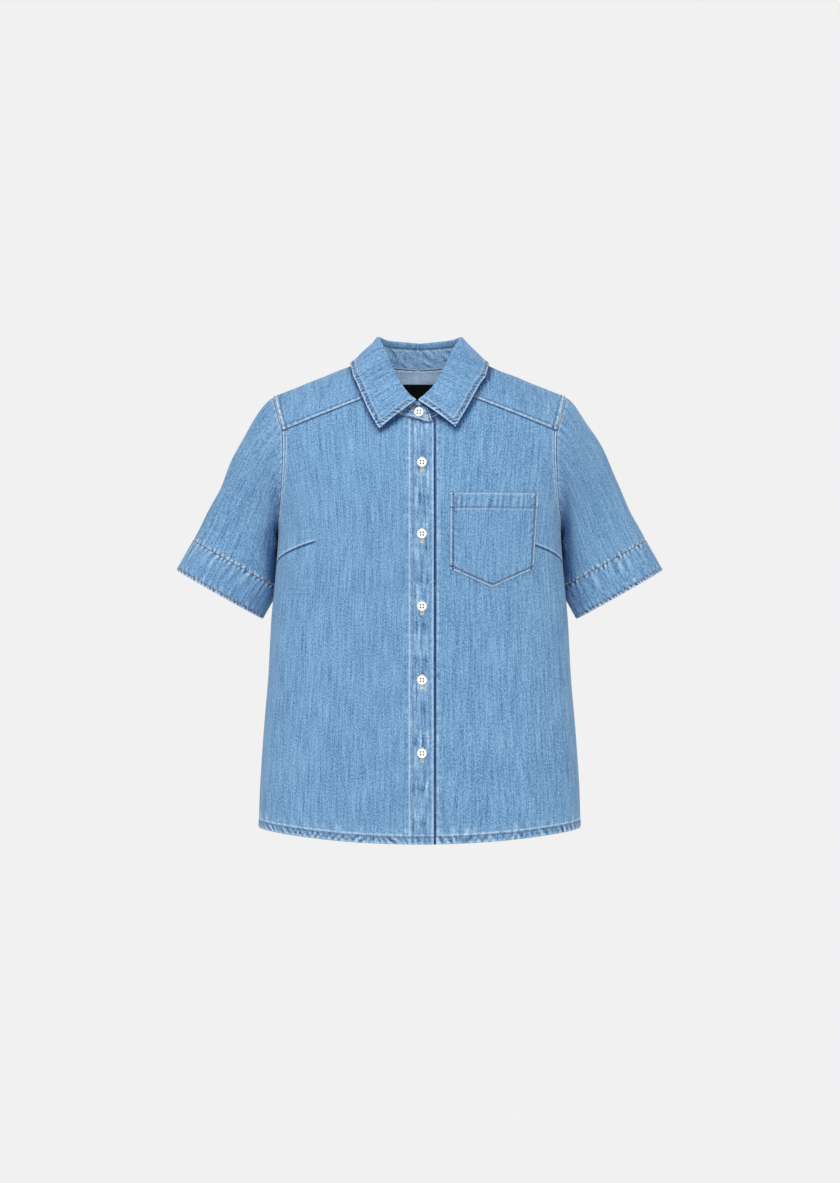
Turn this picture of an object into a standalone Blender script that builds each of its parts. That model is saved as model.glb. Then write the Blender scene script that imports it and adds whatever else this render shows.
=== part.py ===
"""A short-sleeved denim shirt, hollow and filled out the way a body would hold it.

Every cloth piece is a wall through one smooth form: level sections from the hem up to
the arms, closed over the shoulders by a sloping shoulder line.  Lengths are in metres.
+X is the wearer's left, -Y is the front and +Z is up.  The origin is the middle of the
neck, in the middle plane between front and back, where the wearer's shoulders carry it.
"""

import math
from collections import namedtuple

import bmesh
import bpy
import numpy as np
from mathutils import Vector

# ---- Cloth ---------------------------------------------------------------------------
CLOTH = 0.0012  # wall of one finished layer of denim
SEAM_GAP = 0.0003  # between two pieces sewn together
LAYER = CLOTH + SEAM_GAP  # from a panel to the piece that lies on it
HALF_GAP = SEAM_GAP / 2

# ---- The form ------------------------------------------------------------------------
SHOULDER_TIP_X = 0.190
SHOULDER_TIP_Z = -0.0354
SHOULDER_SLOPE = 0.40  # fall of the shoulder line towards the arm
SHOULDER_ROUND = 0.070  # drop over which the shoulders turn upright
FULLNESS = 2.6  # power of the level sections, where 2 is an ellipse
POWER = 2 / FULLNESS

Level = namedtuple("Level", "z half_width front back")
TORSO = (
    Level(-0.640, 0.2090, 0.106, 0.108),
    Level(-0.560, 0.2085, 0.103, 0.104),
    Level(-0.480, 0.2035, 0.098, 0.097),
    Level(-0.400, 0.1968, 0.094, 0.091),
    Level(-0.326, 0.1928, 0.094, 0.088),
    Level(-0.248, 0.1856, 0.099, 0.091),
    Level(-0.212, 0.1836, 0.101, 0.094),
    Level(-0.183, 0.1860, 0.101, 0.095),
    Level(-0.140, 0.1938, 0.096, 0.095),
    Level(-0.100, 0.2000, 0.086, 0.090),
    Level(-0.060, 0.2040, 0.070, 0.082),
    Level(-0.020, 0.2060, 0.050, 0.071),
    Level(0.010, 0.2065, 0.042, 0.064),
    Level(0.050, 0.2065, 0.036, 0.058),
)

# ---- Seams on the form -----------------------------------------------------------------
NECK_HALF_WIDTH = 0.066
NECK_CLEAR = 0.0010  # from the stand to the placket's and the band's upper edges
NECK_FRONT_Z = -0.067
NECK_BACK_Z = 0.002
NECK_CORNER_X = 0.054  # where the front yoke seam meets the neck
YOKE_FRONT_Z = -0.081  # the front yoke seam at the arm
YOKE_BACK_Z = -0.095  # the back yoke seam, level
UNDERARM_Z = -0.212
SIDE_SEAM = math.radians(96)
ARM_FRONT = math.radians(57)  # bearing of the armhole at the front yoke seam
ARM_BACK = math.radians(122)  # bearing of the armhole at the back yoke seam
ARM_CURVE = 1.8  # how round the armhole's foot is
HEM_FRONT_Z = -0.612
HEM_RISE = 0.016  # the hem's rise at the sides

# ---- Closing ---------------------------------------------------------------------------
PLACKET_LEFT_X = -0.0143
PLACKET_RIGHT_X = 0.0179
BAND_LEFT_X = -0.0119
BAND_RIGHT_X = 0.0212
FRONT_RIGHT_EDGE_X = -0.0131  # the right front ends under the placket
TAB_DROP = 0.007  # the stand's overlapping end dips by this much
TAB_START_X = -0.010
TAB_END = 194.0  # bearing of that end, past the centre front at 180
UNDER_END = 191.0

# ---- Collar: rows from the centre back (0) to the centre front (180) -------------------
STAND_TOP_HALF_WIDTH = 0.055
STAND_CLEAR = 0.0027  # from the neck's edge to the stand's lower edge
COLLAR_SHIFT = -0.003  # the closed collar's front sits this far to the wearer's right
FOLD_RADIUS = 0.0025
LEAF_END = 175.5
Collar = namedtuple("Collar", "bearing stand_y stand_z rise edge_x edge_turn clear")
COLLAR = (
    Collar(0.0, 0.0550, 0.0300, 0.0080, 0.0000, 74.0, 0.0040),
    Collar(45.0, 0.0400, 0.0320, 0.0080, 0.0620, 50.0, 0.0040),
    Collar(90.0, 0.0010, 0.0345, 0.0070, 0.0895, 6.0, 0.0030),
    Collar(112.0, -0.0240, 0.0260, 0.0070, 0.0880, -38.0, 0.0035),
    Collar(135.0, -0.0460, -0.0040, 0.0065, 0.0775, -58.0, 0.0040),
    Collar(155.0, -0.0610, -0.0300, 0.0060, 0.0640, -88.0, 0.0040),
    Collar(175.5, -0.0705, -0.0480, 0.0050, 0.0488, -115.6, 0.0035),
    Collar(195.0, -0.0755, -0.0600, 0.0050, 0.0488, -115.6, 0.0035),
)

# ---- Sleeves ---------------------------------------------------------------------------
CUFF_LENGTH = 0.045
CUFF_HALF_WIDTH = 0.0646
CUFF_HALF_DEPTH = 0.040
CUFF_FOOT = np.array((0.2635, 0.040, -0.293))  # middle of the sleeve's open end
CUFF_LEAN = math.radians(29.5)  # of the sleeve's end from upright
ARMHOLE_MIDDLE_Z = -0.124
SLEEVE_START = 0.0016  # from the armhole's edge to the sleeve's first ring
Start = namedtuple("Start", "clock x y z pull reach")
SLEEVE_STARTS = (
    Start(0.0, 0.80, 0.00, -0.60, 0.62, 0.90),
    Start(60.0, 0.80, 0.32, -0.50, 0.60, 0.90),
    Start(120.0, 0.78, 0.36, -0.50, 0.60, 0.80),
    Start(180.0, 0.90, 0.10, -0.42, 0.70, 0.50),
    Start(240.0, 0.78, -0.30, -0.50, 0.60, 0.80),
    Start(300.0, 0.80, -0.32, -0.50, 0.60, 0.90),
    Start(360.0, 0.80, 0.00, -0.60, 0.62, 0.90),
)

# ---- Small pieces ----------------------------------------------------------------------
POCKET_LIFT = 0.0021
POCKET_LEFT_X = 0.0393
POCKET_RIGHT_X = 0.1507
POCKET_FOOT_RIGHT_X = 0.1451
POCKET_POINT_X = 0.0928
POCKET_TOP_Z = -0.163
POCKET_FOOT_Z = -0.260
POCKET_POINT_Z = -0.2838
LABEL_MIDDLE_X = -0.0023
LABEL_WIDTH = 0.050
LABEL_TOP_Z = -0.0143
LABEL_HEIGHT = 0.028
LABEL_CLOTH = 0.0007
BUTTON_RADIUS = 0.0061
BUTTON_THICKNESS = 0.0026
BUTTON_X = 0.0030
BUTTON_HEIGHTS = (-0.1249, -0.2153, -0.3078, -0.4025, -0.4962)
NECK_BUTTON_BEARING = -181.2
NECK_BUTTON_HEIGHT = 0.55  # of the stand's height

# ---- Finishes ---------------------------------------------------------------------------
DENIM_BLUE = (0.165, 0.342, 0.578)
LABEL_BLACK = (0.006, 0.006, 0.007)
BUTTON_WHITE = (0.90, 0.88, 0.85)

# ---- Grids -----------------------------------------------------------------------------
LOWER_ROWS = 11
UPPER_ROWS = 9
FRONT_COLUMNS = 9
BACK_COLUMNS = 9
SLEEVE_ROWS = 7
COLLAR_COLUMNS = 34


# ---- Reading the tables ----------------------------------------------------------------
def smooth(table, column, at):
    """One column of a table, read at its first column's value, without corners."""
    rows = sorted(table)
    keys = np.array([row[0] for row in rows])
    values = np.array([getattr(row, column) for row in rows])
    slopes = np.gradient(values, keys)
    at = np.clip(at, keys[0], keys[-1])
    left = np.clip(np.searchsorted(keys, at) - 1, 0, len(keys) - 2)
    width = keys[left + 1] - keys[left]
    t = (at - keys[left]) / width
    rest = 1 - t
    ends = rest**2 * (1 + 2 * t) * values[left] + t**2 * (3 - 2 * t) * values[left + 1]
    return ends + width * t * rest * (rest * slopes[left] - t * slopes[left + 1])


def stack(x, y, z):
    return np.stack(np.broadcast_arrays(x, y, z), axis=-1)


def unit(vectors):
    return vectors / np.linalg.norm(vectors, axis=-1, keepdims=True)


def ease(t):
    """From 0 to 1 with level ends."""
    t = np.clip(t, 0, 1)
    return t * t * (3 - 2 * t)


# ---- The form as two ways to reach one surface -----------------------------------------
def shoulder_line(x):
    return SHOULDER_TIP_Z + (SHOULDER_TIP_X - np.abs(x)) * SHOULDER_SLOPE


def torso(bearing, z):
    """Point at a bearing from the centre front, towards the wearer's left, and a height."""
    sine, cosine = np.sin(bearing), np.cos(bearing)
    x = smooth(TORSO, "half_width", z) * np.sign(sine) * np.abs(sine) ** POWER
    depth = np.where(cosine < 0, smooth(TORSO, "back", z), smooth(TORSO, "front", z))
    near = np.clip((shoulder_line(x) - z) / SHOULDER_ROUND, 0, 1)
    rounding = np.sqrt(1 - (1 - near) ** 2)
    y = -np.sign(cosine) * depth * np.abs(cosine) ** POWER * rounding
    return stack(x, y, z)


def shoulder(x, turn):
    """Point at x, turned over the shoulder line by an angle: backwards when positive."""
    angle = np.abs(turn)
    upright = math.pi / 2
    drop = np.where(angle < upright, 1 - np.cos(angle), 1 + angle - upright)
    z = shoulder_line(x) - SHOULDER_ROUND * drop
    depth = np.where(turn > 0, smooth(TORSO, "back", z), smooth(TORSO, "front", z))
    reach = np.clip(np.abs(x) / smooth(TORSO, "half_width", z), 0, 1)
    across = (1 - reach**FULLNESS) ** (1 / FULLNESS)
    y = np.sign(turn) * depth * across * np.sin(np.minimum(angle, upright))
    return stack(x, y, z)


def turn_at(x, z):
    """The turn over the shoulder line that comes down to height z, always positive."""
    drop = (shoulder_line(x) - z) / SHOULDER_ROUND
    return np.where(
        drop < 1, np.arccos(np.clip(1 - drop, -1, 1)), math.pi / 2 + drop - 1
    )


def bearing_at(x, z):
    """Bearing of the point in front at x and z."""
    reach = np.clip(np.abs(x) / smooth(TORSO, "half_width", z), 0, 1)
    return np.sign(x) * np.arcsin(reach ** (1 / POWER))


def lifted(surface, first, second, lift):
    """Points of a surface moved out from it."""
    step = 1e-4
    along = surface(first + step, second) - surface(first - step, second)
    up = surface(first, second + step) - surface(first, second - step)
    out = unit(np.cross(along, up))
    return surface(first, second) + np.asarray(lift)[..., None] * out


# ---- Seam lines --------------------------------------------------------------------------
def neck_front_z(x):
    """Height of the neck's edge in front, at x."""
    sine = np.clip(np.abs(x) / NECK_HALF_WIDTH, 0, 1)
    side_z = shoulder_line(NECK_HALF_WIDTH)
    return NECK_FRONT_Z + (side_z - NECK_FRONT_Z) * (1 - np.sqrt(1 - sine**2))


def neck_edge(bearing):
    """(x, turn) of the neck's edge at a bearing in degrees from the centre back."""
    sine, cosine = np.sin(np.radians(bearing)), np.cos(np.radians(bearing))
    x = NECK_HALF_WIDTH * sine
    side_z = shoulder_line(NECK_HALF_WIDTH)
    middle_z = np.where(cosine > 0, NECK_BACK_Z, NECK_FRONT_Z)
    z = middle_z + (side_z - middle_z) * (1 - np.abs(cosine))
    return x, np.sign(cosine) * turn_at(x, z)


def yoke_front_z(x):
    """Height of the front yoke seam at x."""
    corner_z = neck_front_z(NECK_CORNER_X)
    arm_x = torso(ARM_FRONT, YOKE_FRONT_Z)[0]
    share = (np.abs(x) - NECK_CORNER_X) / (arm_x - NECK_CORNER_X)
    return corner_z + (YOKE_FRONT_Z - corner_z) * share


def front_top_z(x):
    """Height of a front panel's upper edge at x: the neck, then the yoke seam."""
    return np.where(np.abs(x) < NECK_CORNER_X, neck_front_z(x), yoke_front_z(x))


def armhole_bearing(z, corner, corner_z):
    """Bearing of the armhole's edge at a height, up to its corner at the yoke."""
    height = np.clip((z - UNDERARM_Z) / (corner_z - UNDERARM_Z), 0, 1)
    out = (1 - (1 - height) ** ARM_CURVE) ** (1 / ARM_CURVE)
    return SIDE_SEAM + (corner - SIDE_SEAM) * out


def hem_z(bearing):
    return HEM_FRONT_Z + HEM_RISE * np.abs(np.sin(bearing)) ** 1.5


def tab_dip(x):
    """How far the stand's overlapping end dips below the neck's edge at x."""
    tab_x = NECK_HALF_WIDTH * math.sin(math.radians(TAB_END - 180))
    return TAB_DROP * ease((x - TAB_START_X) / (tab_x - TAB_START_X))


def placket_top_z(x):
    return neck_front_z(x) - tab_dip(x)


# ---- Grids of points ---------------------------------------------------------------------
def panel_rows(lower_edge, upper_edge, upper_rows=UPPER_ROWS):
    """Heights of a panel: even below the underarm, closer just above it."""
    low = lower_edge + (UNDERARM_Z - lower_edge) * np.linspace(0, 1, LOWER_ROWS + 1)
    high = (
        UNDERARM_Z
        + (upper_edge - UNDERARM_Z) * np.linspace(0, 1, upper_rows + 1)[1:] ** 1.3
    )
    return np.concatenate([low, high])


def front_grid(inner_x):
    """A front panel on the wearer's left, from inner_x out to its side seam."""
    outer_z = panel_rows(hem_z(SIDE_SEAM), YOKE_FRONT_Z - HALF_GAP)
    outer = armhole_bearing(outer_z, ARM_FRONT, YOKE_FRONT_Z) - HALF_GAP / 0.12
    corner = bearing_at(NECK_CORNER_X, yoke_front_z(NECK_CORNER_X))
    corners = np.full_like(outer, corner)
    shares = np.linspace(0, 1, FRONT_COLUMNS + 1)[1:]
    inner = bearing_at(inner_x, outer_z)
    bearings = [inner, (inner + corners) / 2, corners]
    bearings += [corners + (outer - corners) * share for share in shares]
    columns = []
    for index, column in enumerate(bearings):
        top = YOKE_FRONT_Z
        for _ in range(8):
            top = front_top_z(torso(column[-1], top)[0])
        z = panel_rows(hem_z(column[0]), top - HALF_GAP)
        if index == 0:
            column = bearing_at(inner_x, z)
        columns.append(torso(column, z))
    return np.stack(columns, axis=1)


def back_grid():
    """The whole back panel, from the left side seam round to the right one."""
    outer_z = panel_rows(hem_z(SIDE_SEAM), YOKE_BACK_Z - HALF_GAP)
    outer = armhole_bearing(outer_z, ARM_BACK, YOKE_BACK_Z) + HALF_GAP / 0.12
    shares = np.linspace(-1, 1, 2 * BACK_COLUMNS + 1)
    columns = []
    for share in shares:
        column = math.pi + (math.pi - outer) * share
        z = panel_rows(hem_z(column[0]), YOKE_BACK_Z - HALF_GAP)
        columns.append(torso(column, z))
    return np.stack(columns, axis=1)


def yoke_arm_edge(steps):
    """(x, turn) of the yoke's edge at the left arm, from its front corner to its back one."""
    front_x, _, front_z = torso(ARM_FRONT, YOKE_FRONT_Z)
    back_x, _, back_z = torso(ARM_BACK, YOKE_BACK_Z)
    low = -turn_at(front_x, front_z + HALF_GAP)
    high = turn_at(back_x, back_z + HALF_GAP)
    turn = np.linspace(low, high, steps)
    corner_x = np.where(turn < 0, front_x, back_x)
    corner = np.where(turn < 0, low, high)
    x = SHOULDER_TIP_X + (corner_x - SHOULDER_TIP_X) * (1 - np.cos(turn)) / (
        1 - np.cos(corner)
    )
    return x, turn


def yoke_grid():
    """The yoke: rows from the neck's edge out, columns from one front seam to the other."""
    arm_x, arm_turn = yoke_arm_edge(11)
    seam_share = np.linspace(1, 0, 8)[1:]
    seam_x = arm_x[-1] * seam_share
    seam_turn = turn_at(seam_x, YOKE_BACK_Z + HALF_GAP)
    outer_x = np.concatenate([arm_x, seam_x])
    outer_turn = np.concatenate([arm_turn, seam_turn])
    corner_bearing = 180 - math.degrees(math.asin(NECK_CORNER_X / NECK_HALF_WIDTH))
    bearings = np.concatenate(
        [np.linspace(corner_bearing, 42, 11), np.linspace(42, 0, 8)[1:]]
    )
    neck_x, neck_turn = neck_edge(bearings)
    neck_turn[0] = -turn_at(NECK_CORNER_X, yoke_front_z(NECK_CORNER_X) + HALF_GAP)
    share = np.linspace(0, 1, 6)[:, None]
    x = neck_x + (outer_x - neck_x) * share
    turn = neck_turn + (outer_turn - neck_turn) * share
    seam_z = yoke_front_z(x[:, 0]) + HALF_GAP
    turn[:, 0] = -turn_at(x[:, 0], seam_z)
    left = shoulder(x, turn)
    return np.concatenate([left * (-1, 1, 1), left[:, -2::-1]], axis=1)


def armhole_loop():
    """The left armhole's edge from the underarm up the front, over and down the back."""
    front = front_grid(BAND_RIGHT_X)[LOWER_ROWS:, -1]
    over = shoulder(*yoke_arm_edge(11))[1:-1]
    behind = back_grid()[LOWER_ROWS:, -1] * (-1, 1, 1)
    return np.concatenate([front, over, behind[:0:-1]])


def closed_round(points):
    """A tube's rows with the first column repeated at the end, facing outwards."""
    return np.concatenate([points, points[:, :1]], axis=1)[:, ::-1]


def sleeve_ring(clock, along):
    """Point of the sleeve's straight end: along 0 is its seam with the cuff, 1 its foot."""
    axis = np.array((math.sin(CUFF_LEAN), 0, -math.cos(CUFF_LEAN)))
    out = np.array((math.cos(CUFF_LEAN), 0, math.sin(CUFF_LEAN)))
    front = np.array((0, -1, 0))
    middle = CUFF_FOOT - axis * CUFF_LENGTH * (1 - along)
    across = CUFF_HALF_WIDTH * np.cos(clock)[..., None] * out
    return middle + across + CUFF_HALF_DEPTH * np.sin(clock)[..., None] * front


def sleeve_clock(loop):
    """Angle of each armhole point: 0 at the shoulder tip, a quarter turn in front."""
    half_height = (SHOULDER_TIP_Z - UNDERARM_Z) / 2
    half_depth = np.ptp(loop[:, 1]) / 2
    middle_y = (loop[:, 1].max() + loop[:, 1].min()) / 2
    up = (loop[:, 2] - ARMHOLE_MIDDLE_Z) / half_height
    return np.arctan2(-(loop[:, 1] - middle_y) / half_depth, up) % (2 * math.pi)


def sleeve_grid():
    """The left sleeve from the armhole to the cuff's seam."""
    loop = armhole_loop()
    clock = sleeve_clock(loop)
    degrees = np.degrees(clock)
    start = unit(stack(*(smooth(SLEEVE_STARTS, name, degrees) for name in "xyz")))
    first = loop + SLEEVE_START * start
    last = sleeve_ring(clock, -HALF_GAP / CUFF_LENGTH)
    axis = np.array((math.sin(CUFF_LEAN), 0, -math.cos(CUFF_LEAN)))
    span = np.linalg.norm(last - first, axis=1, keepdims=True)
    pull = smooth(SLEEVE_STARTS, "pull", degrees)[:, None] * span * start
    reach = smooth(SLEEVE_STARTS, "reach", degrees)[:, None] * span * axis
    rows = []
    for t in np.linspace(0, 1, SLEEVE_ROWS + 1):
        rest = 1 - t
        ends = rest**2 * (1 + 2 * t) * first + t**2 * (3 - 2 * t) * last
        rows.append(ends + t * rest * (rest * pull - t * reach))
    return closed_round(np.stack(rows))


def cuff_grid():
    clock = sleeve_clock(armhole_loop())
    starts = (HALF_GAP / CUFF_LENGTH, 0.5, 1.0)
    return closed_round(np.stack([sleeve_ring(clock, start) for start in starts]))


# ---- The collar's lines ------------------------------------------------------------------
def collar_sign(bearing):
    """+1 on the wearer's left, -1 on the right."""
    return np.where(bearing < 0, -1.0, 1.0)


def collar_shift(turn):
    """Sideways shift of the collar, growing from its sides to its front."""
    return COLLAR_SHIFT * ease((turn - 110) / 60)


def stand_base(bearing, lift=0.0):
    """Lower edge of the stand, just clear of the neck's edge."""
    x, turn = neck_edge(np.abs(bearing))
    side = collar_sign(bearing)
    x = x * side
    base = lifted(shoulder, x, turn, STAND_CLEAR + lift)
    base[..., 2] -= np.where(bearing < 0, tab_dip(base[..., 0]), 0)
    return base


def stand_top(bearing, lift=0.0):
    """Upper edge of the stand, where the leaf is sewn on."""
    turn = np.abs(bearing)
    radians = np.radians(turn)
    x = STAND_TOP_HALF_WIDTH * np.sin(radians) * collar_sign(bearing)
    x = x + collar_shift(turn)
    y = smooth(COLLAR, "stand_y", turn)
    z = smooth(COLLAR, "stand_z", turn)
    out = unit(stack(x, y * 0.8, 0 * y))
    return stack(x, y, z) + np.asarray(lift)[..., None] * out


def stand_grid():
    """The stand, its right end over its left one in front."""
    bearing = np.concatenate(
        [
            np.linspace(-TAB_END, -LEAF_END, 5)[:-1],
            np.linspace(-LEAF_END, LEAF_END, COLLAR_COLUMNS + 1),
            np.linspace(LEAF_END, UNDER_END, 4)[1:],
        ]
    )
    lift = LAYER * ease((-bearing - 150) / 25)
    base, top = stand_base(bearing, lift), stand_top(bearing, lift)
    rows = [base + (top - base) * share for share in (0, 1 / 3, 2 / 3, 1)]
    return np.stack(rows)


def leaf_edge(bearing):
    """Outer edge of the leaf, just clear of the shoulders."""
    turn = np.abs(bearing)
    x = smooth(COLLAR, "edge_x", turn) * collar_sign(bearing) + collar_shift(turn)
    over = np.radians(smooth(COLLAR, "edge_turn", turn))
    return lifted(shoulder, x, over, smooth(COLLAR, "clear", turn))


def leaf_grid():
    """The leaf: up from the stand, over the fold and down to its outer edge."""
    bearing = np.linspace(-LEAF_END, LEAF_END, COLLAR_COLUMNS + 1)
    step = 0.5
    lift = LAYER * ease((-bearing - 150) / 25)
    base, top = stand_base(bearing, lift), stand_top(bearing, lift)
    run = unit(stand_top(bearing + step) - stand_top(bearing - step))
    out = unit(np.cross(top - base, run))
    rise = unit(np.cross(run, out))
    high = smooth(COLLAR, "rise", np.abs(bearing))[:, None]
    seam = top + rise * SEAM_GAP
    middle = top + rise * (high - FOLD_RADIUS) + out * FOLD_RADIUS
    fold = [middle - out * FOLD_RADIUS]
    for angle in (45, 90, 135, 180):
        swing = math.radians(angle)
        fold.append(
            middle + FOLD_RADIUS * (math.sin(swing) * rise - math.cos(swing) * out)
        )
    edge = leaf_edge(bearing)
    bow = 0.0025
    fall = []
    for share in (0.3, 0.6, 1.0):
        point = fold[-1] + (edge - fold[-1]) * share
        fall.append(point + out * bow * math.sin(math.pi * share))
    return np.stack([seam, *fold, *fall])


# ---- Flat pieces on the fronts -------------------------------------------------------------
def strip_grid(xs, top, lift):
    """A band down the front at the given places across, with its upper edge from top(x)."""
    columns = []
    for x in xs:
        z = panel_rows(HEM_FRONT_Z, top(x) - NECK_CLEAR)
        columns.append(lifted(torso, bearing_at(x, z), z, lift))
    return np.stack(columns, axis=1)


def placket_grid():
    xs = (PLACKET_LEFT_X, 0.0018, PLACKET_RIGHT_X)
    return strip_grid(xs, placket_top_z, LAYER)


def button_band_grid():
    xs = (BAND_LEFT_X, 0.0046, BAND_RIGHT_X)
    return strip_grid(xs, neck_front_z, 0.0)


def pocket_grid():
    point = (POCKET_POINT_X - POCKET_LEFT_X) / (POCKET_FOOT_RIGHT_X - POCKET_LEFT_X)
    columns = []
    for share in np.concatenate(
        [np.linspace(0, point, 4), np.linspace(point, 1, 4)[1:]]
    ):
        foot_x = POCKET_LEFT_X + (POCKET_FOOT_RIGHT_X - POCKET_LEFT_X) * share
        top_x = POCKET_LEFT_X + (POCKET_RIGHT_X - POCKET_LEFT_X) * share
        slant = np.interp(share, (0, point, 1), (0, 1, 0))
        foot_z = POCKET_FOOT_Z + (POCKET_POINT_Z - POCKET_FOOT_Z) * slant
        up = np.linspace(0, 1, 7)
        x = foot_x + (top_x - foot_x) * up
        z = foot_z + (POCKET_TOP_Z - foot_z) * up
        columns.append(lifted(torso, bearing_at(x, z), z, POCKET_LIFT))
    return np.stack(columns, axis=1)


def label_grid():
    """The neck label, inside the back yoke."""
    x = LABEL_MIDDLE_X + LABEL_WIDTH * np.linspace(-0.5, 0.5, 5)
    z = LABEL_TOP_Z - LABEL_HEIGHT * np.linspace(0, 1, 4)[:, None]
    inside = CLOTH / 2 + 2 * SEAM_GAP + LABEL_CLOTH
    return lifted(shoulder, x[None] + 0 * z, turn_at(x[None], z), -inside)


# ---- Making solids ---------------------------------------------------------------------------
def material(name, colour, roughness):
    made = bpy.data.materials.new(name)
    made.use_nodes = True
    shader = made.node_tree.nodes["Principled BSDF"]
    shader.inputs["Base Color"].default_value = (*colour, 1)
    shader.inputs["Roughness"].default_value = roughness
    shader.inputs["Metallic"].default_value = 0.0
    return made


def place(name, mesh, finish):
    made = bpy.data.objects.new(name, mesh)
    made.data.materials.append(finish)
    bpy.data.collections["denim_shirt"].objects.link(made)
    return made


def mirrored(points):
    """The same piece for the wearer's right."""
    return (points * (-1, 1, 1))[:, ::-1]


def cloth_piece(name, points, finish, wall=CLOTH):
    """A wall of cloth through a grid of points: rows x columns x 3."""
    rows, columns, _ = points.shape
    shape = bmesh.new()
    bmesh.ops.create_grid(
        shape, x_segments=columns - 1, y_segments=rows - 1, size=1.0
    )
    ordered = sorted(
        shape.verts, key=lambda vertex: (round(vertex.co.y, 5), vertex.co.x)
    )
    for vertex, point in zip(ordered, points.reshape(-1, 3)):
        vertex.co = point
    bmesh.ops.remove_doubles(shape, verts=shape.verts, dist=1e-5)
    mesh = bpy.data.meshes.new(name)
    shape.to_mesh(mesh)
    shape.free()
    mesh.shade_smooth()
    made = place(name, mesh, finish)
    wall_modifier = made.modifiers.new("wall", "SOLIDIFY")
    wall_modifier.thickness = wall
    wall_modifier.offset = 0.0
    wall_modifier.use_even_offset = True
    return made


def button(name, middle, out, finish):
    """A round button with softened rims, lying flat on the cloth."""
    shape = bmesh.new()
    bmesh.ops.create_cone(
        shape,
        cap_ends=True,
        segments=24,
        radius1=BUTTON_RADIUS,
        radius2=BUTTON_RADIUS,
        depth=BUTTON_THICKNESS,
    )
    mesh = bpy.data.meshes.new(name)
    shape.to_mesh(mesh)
    shape.free()
    made = place(name, mesh, finish)
    made.location = middle
    made.rotation_mode = "QUATERNION"
    made.rotation_quaternion = out.to_track_quat("Z", "Y")
    rim = made.modifiers.new("rim", "BEVEL")
    rim.width = 0.0005
    rim.segments = 1
    rim.limit_method = "ANGLE"
    return made


def button_on_placket(z):
    """Middle and outward direction of a placket button."""
    lift = LAYER + CLOTH / 2 + SEAM_GAP + BUTTON_THICKNESS / 2
    bearing = bearing_at(BUTTON_X, z)
    foot = lifted(torso, bearing, z, 0.0)
    middle = lifted(torso, bearing, z, lift)
    return Vector(middle), Vector(middle - foot).normalized()


def button_on_stand():
    """Middle and outward direction of the neck button."""
    bearing, step = NECK_BUTTON_BEARING, 0.5
    base, top = stand_base(bearing, LAYER), stand_top(bearing, LAYER)
    run = stand_top(bearing + step) - stand_top(bearing - step)
    out = unit(np.cross(top - base, run))
    lift = CLOTH / 2 + 4 * SEAM_GAP + BUTTON_THICKNESS / 2
    middle = base + (top - base) * NECK_BUTTON_HEIGHT + out * lift
    return Vector(middle), Vector(out)


# ---- The shirt ----------------------------------------------------------------------------
def build():
    for old in list(bpy.data.objects):
        bpy.data.objects.remove(old, do_unlink=True)
    shirt = bpy.data.collections.new("denim_shirt")
    bpy.context.scene.collection.children.link(shirt)

    denim = {
        name: material("denim_" + name, DENIM_BLUE, 0.85)
        for name in (
            "front_right",
            "front_left",
            "back",
            "yoke",
            "sleeve_right",
            "sleeve_left",
            "cuff_right",
            "cuff_left",
            "placket",
            "button_band",
            "collar_stand",
            "collar_leaf",
            "pocket",
        )
    }
    front, sleeve, cuff = front_grid(BAND_RIGHT_X + SEAM_GAP), sleeve_grid(), cuff_grid()
    right_front = front_grid(-FRONT_RIGHT_EDGE_X)
    grids = {
        "front_right": mirrored(right_front),
        "front_left": front,
        "back": back_grid(),
        "yoke": yoke_grid(),
        "sleeve_right": mirrored(sleeve),
        "sleeve_left": sleeve,
        "cuff_right": mirrored(cuff),
        "cuff_left": cuff,
        "placket": placket_grid(),
        "button_band": button_band_grid(),
        "collar_stand": stand_grid(),
        "collar_leaf": leaf_grid(),
        "pocket": pocket_grid(),
    }
    for name, points in grids.items():
        cloth_piece(name, points, denim[name])

    black = material("label_black", LABEL_BLACK, 0.6)
    cloth_piece("label", label_grid(), black, LABEL_CLOTH)

    pearl = material("button_white", BUTTON_WHITE, 0.35)
    places = [button_on_stand()] + [button_on_placket(z) for z in BUTTON_HEIGHTS]
    for number, (middle, out) in enumerate(places, start=1):
        button(f"button_{number}", middle, out, pearl)


build()
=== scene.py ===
"""Looks of a short-sleeved denim shirt, filled out with nobody in it.

Every panel is a thin shell on the form of its solid.  Its seams, hems, puckers and soft
folds are in its mesh, and its stitches are small loops of thread that lie on it.  Lengths
are in metres.  +X is the wearer's left, -Y is the front and +Z is up.
"""

import logging
import math
from abc import ABC, abstractmethod
from collections.abc import Callable, Iterable, Sequence
from dataclasses import dataclass, field
from enum import Enum
from typing import NamedTuple

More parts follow.
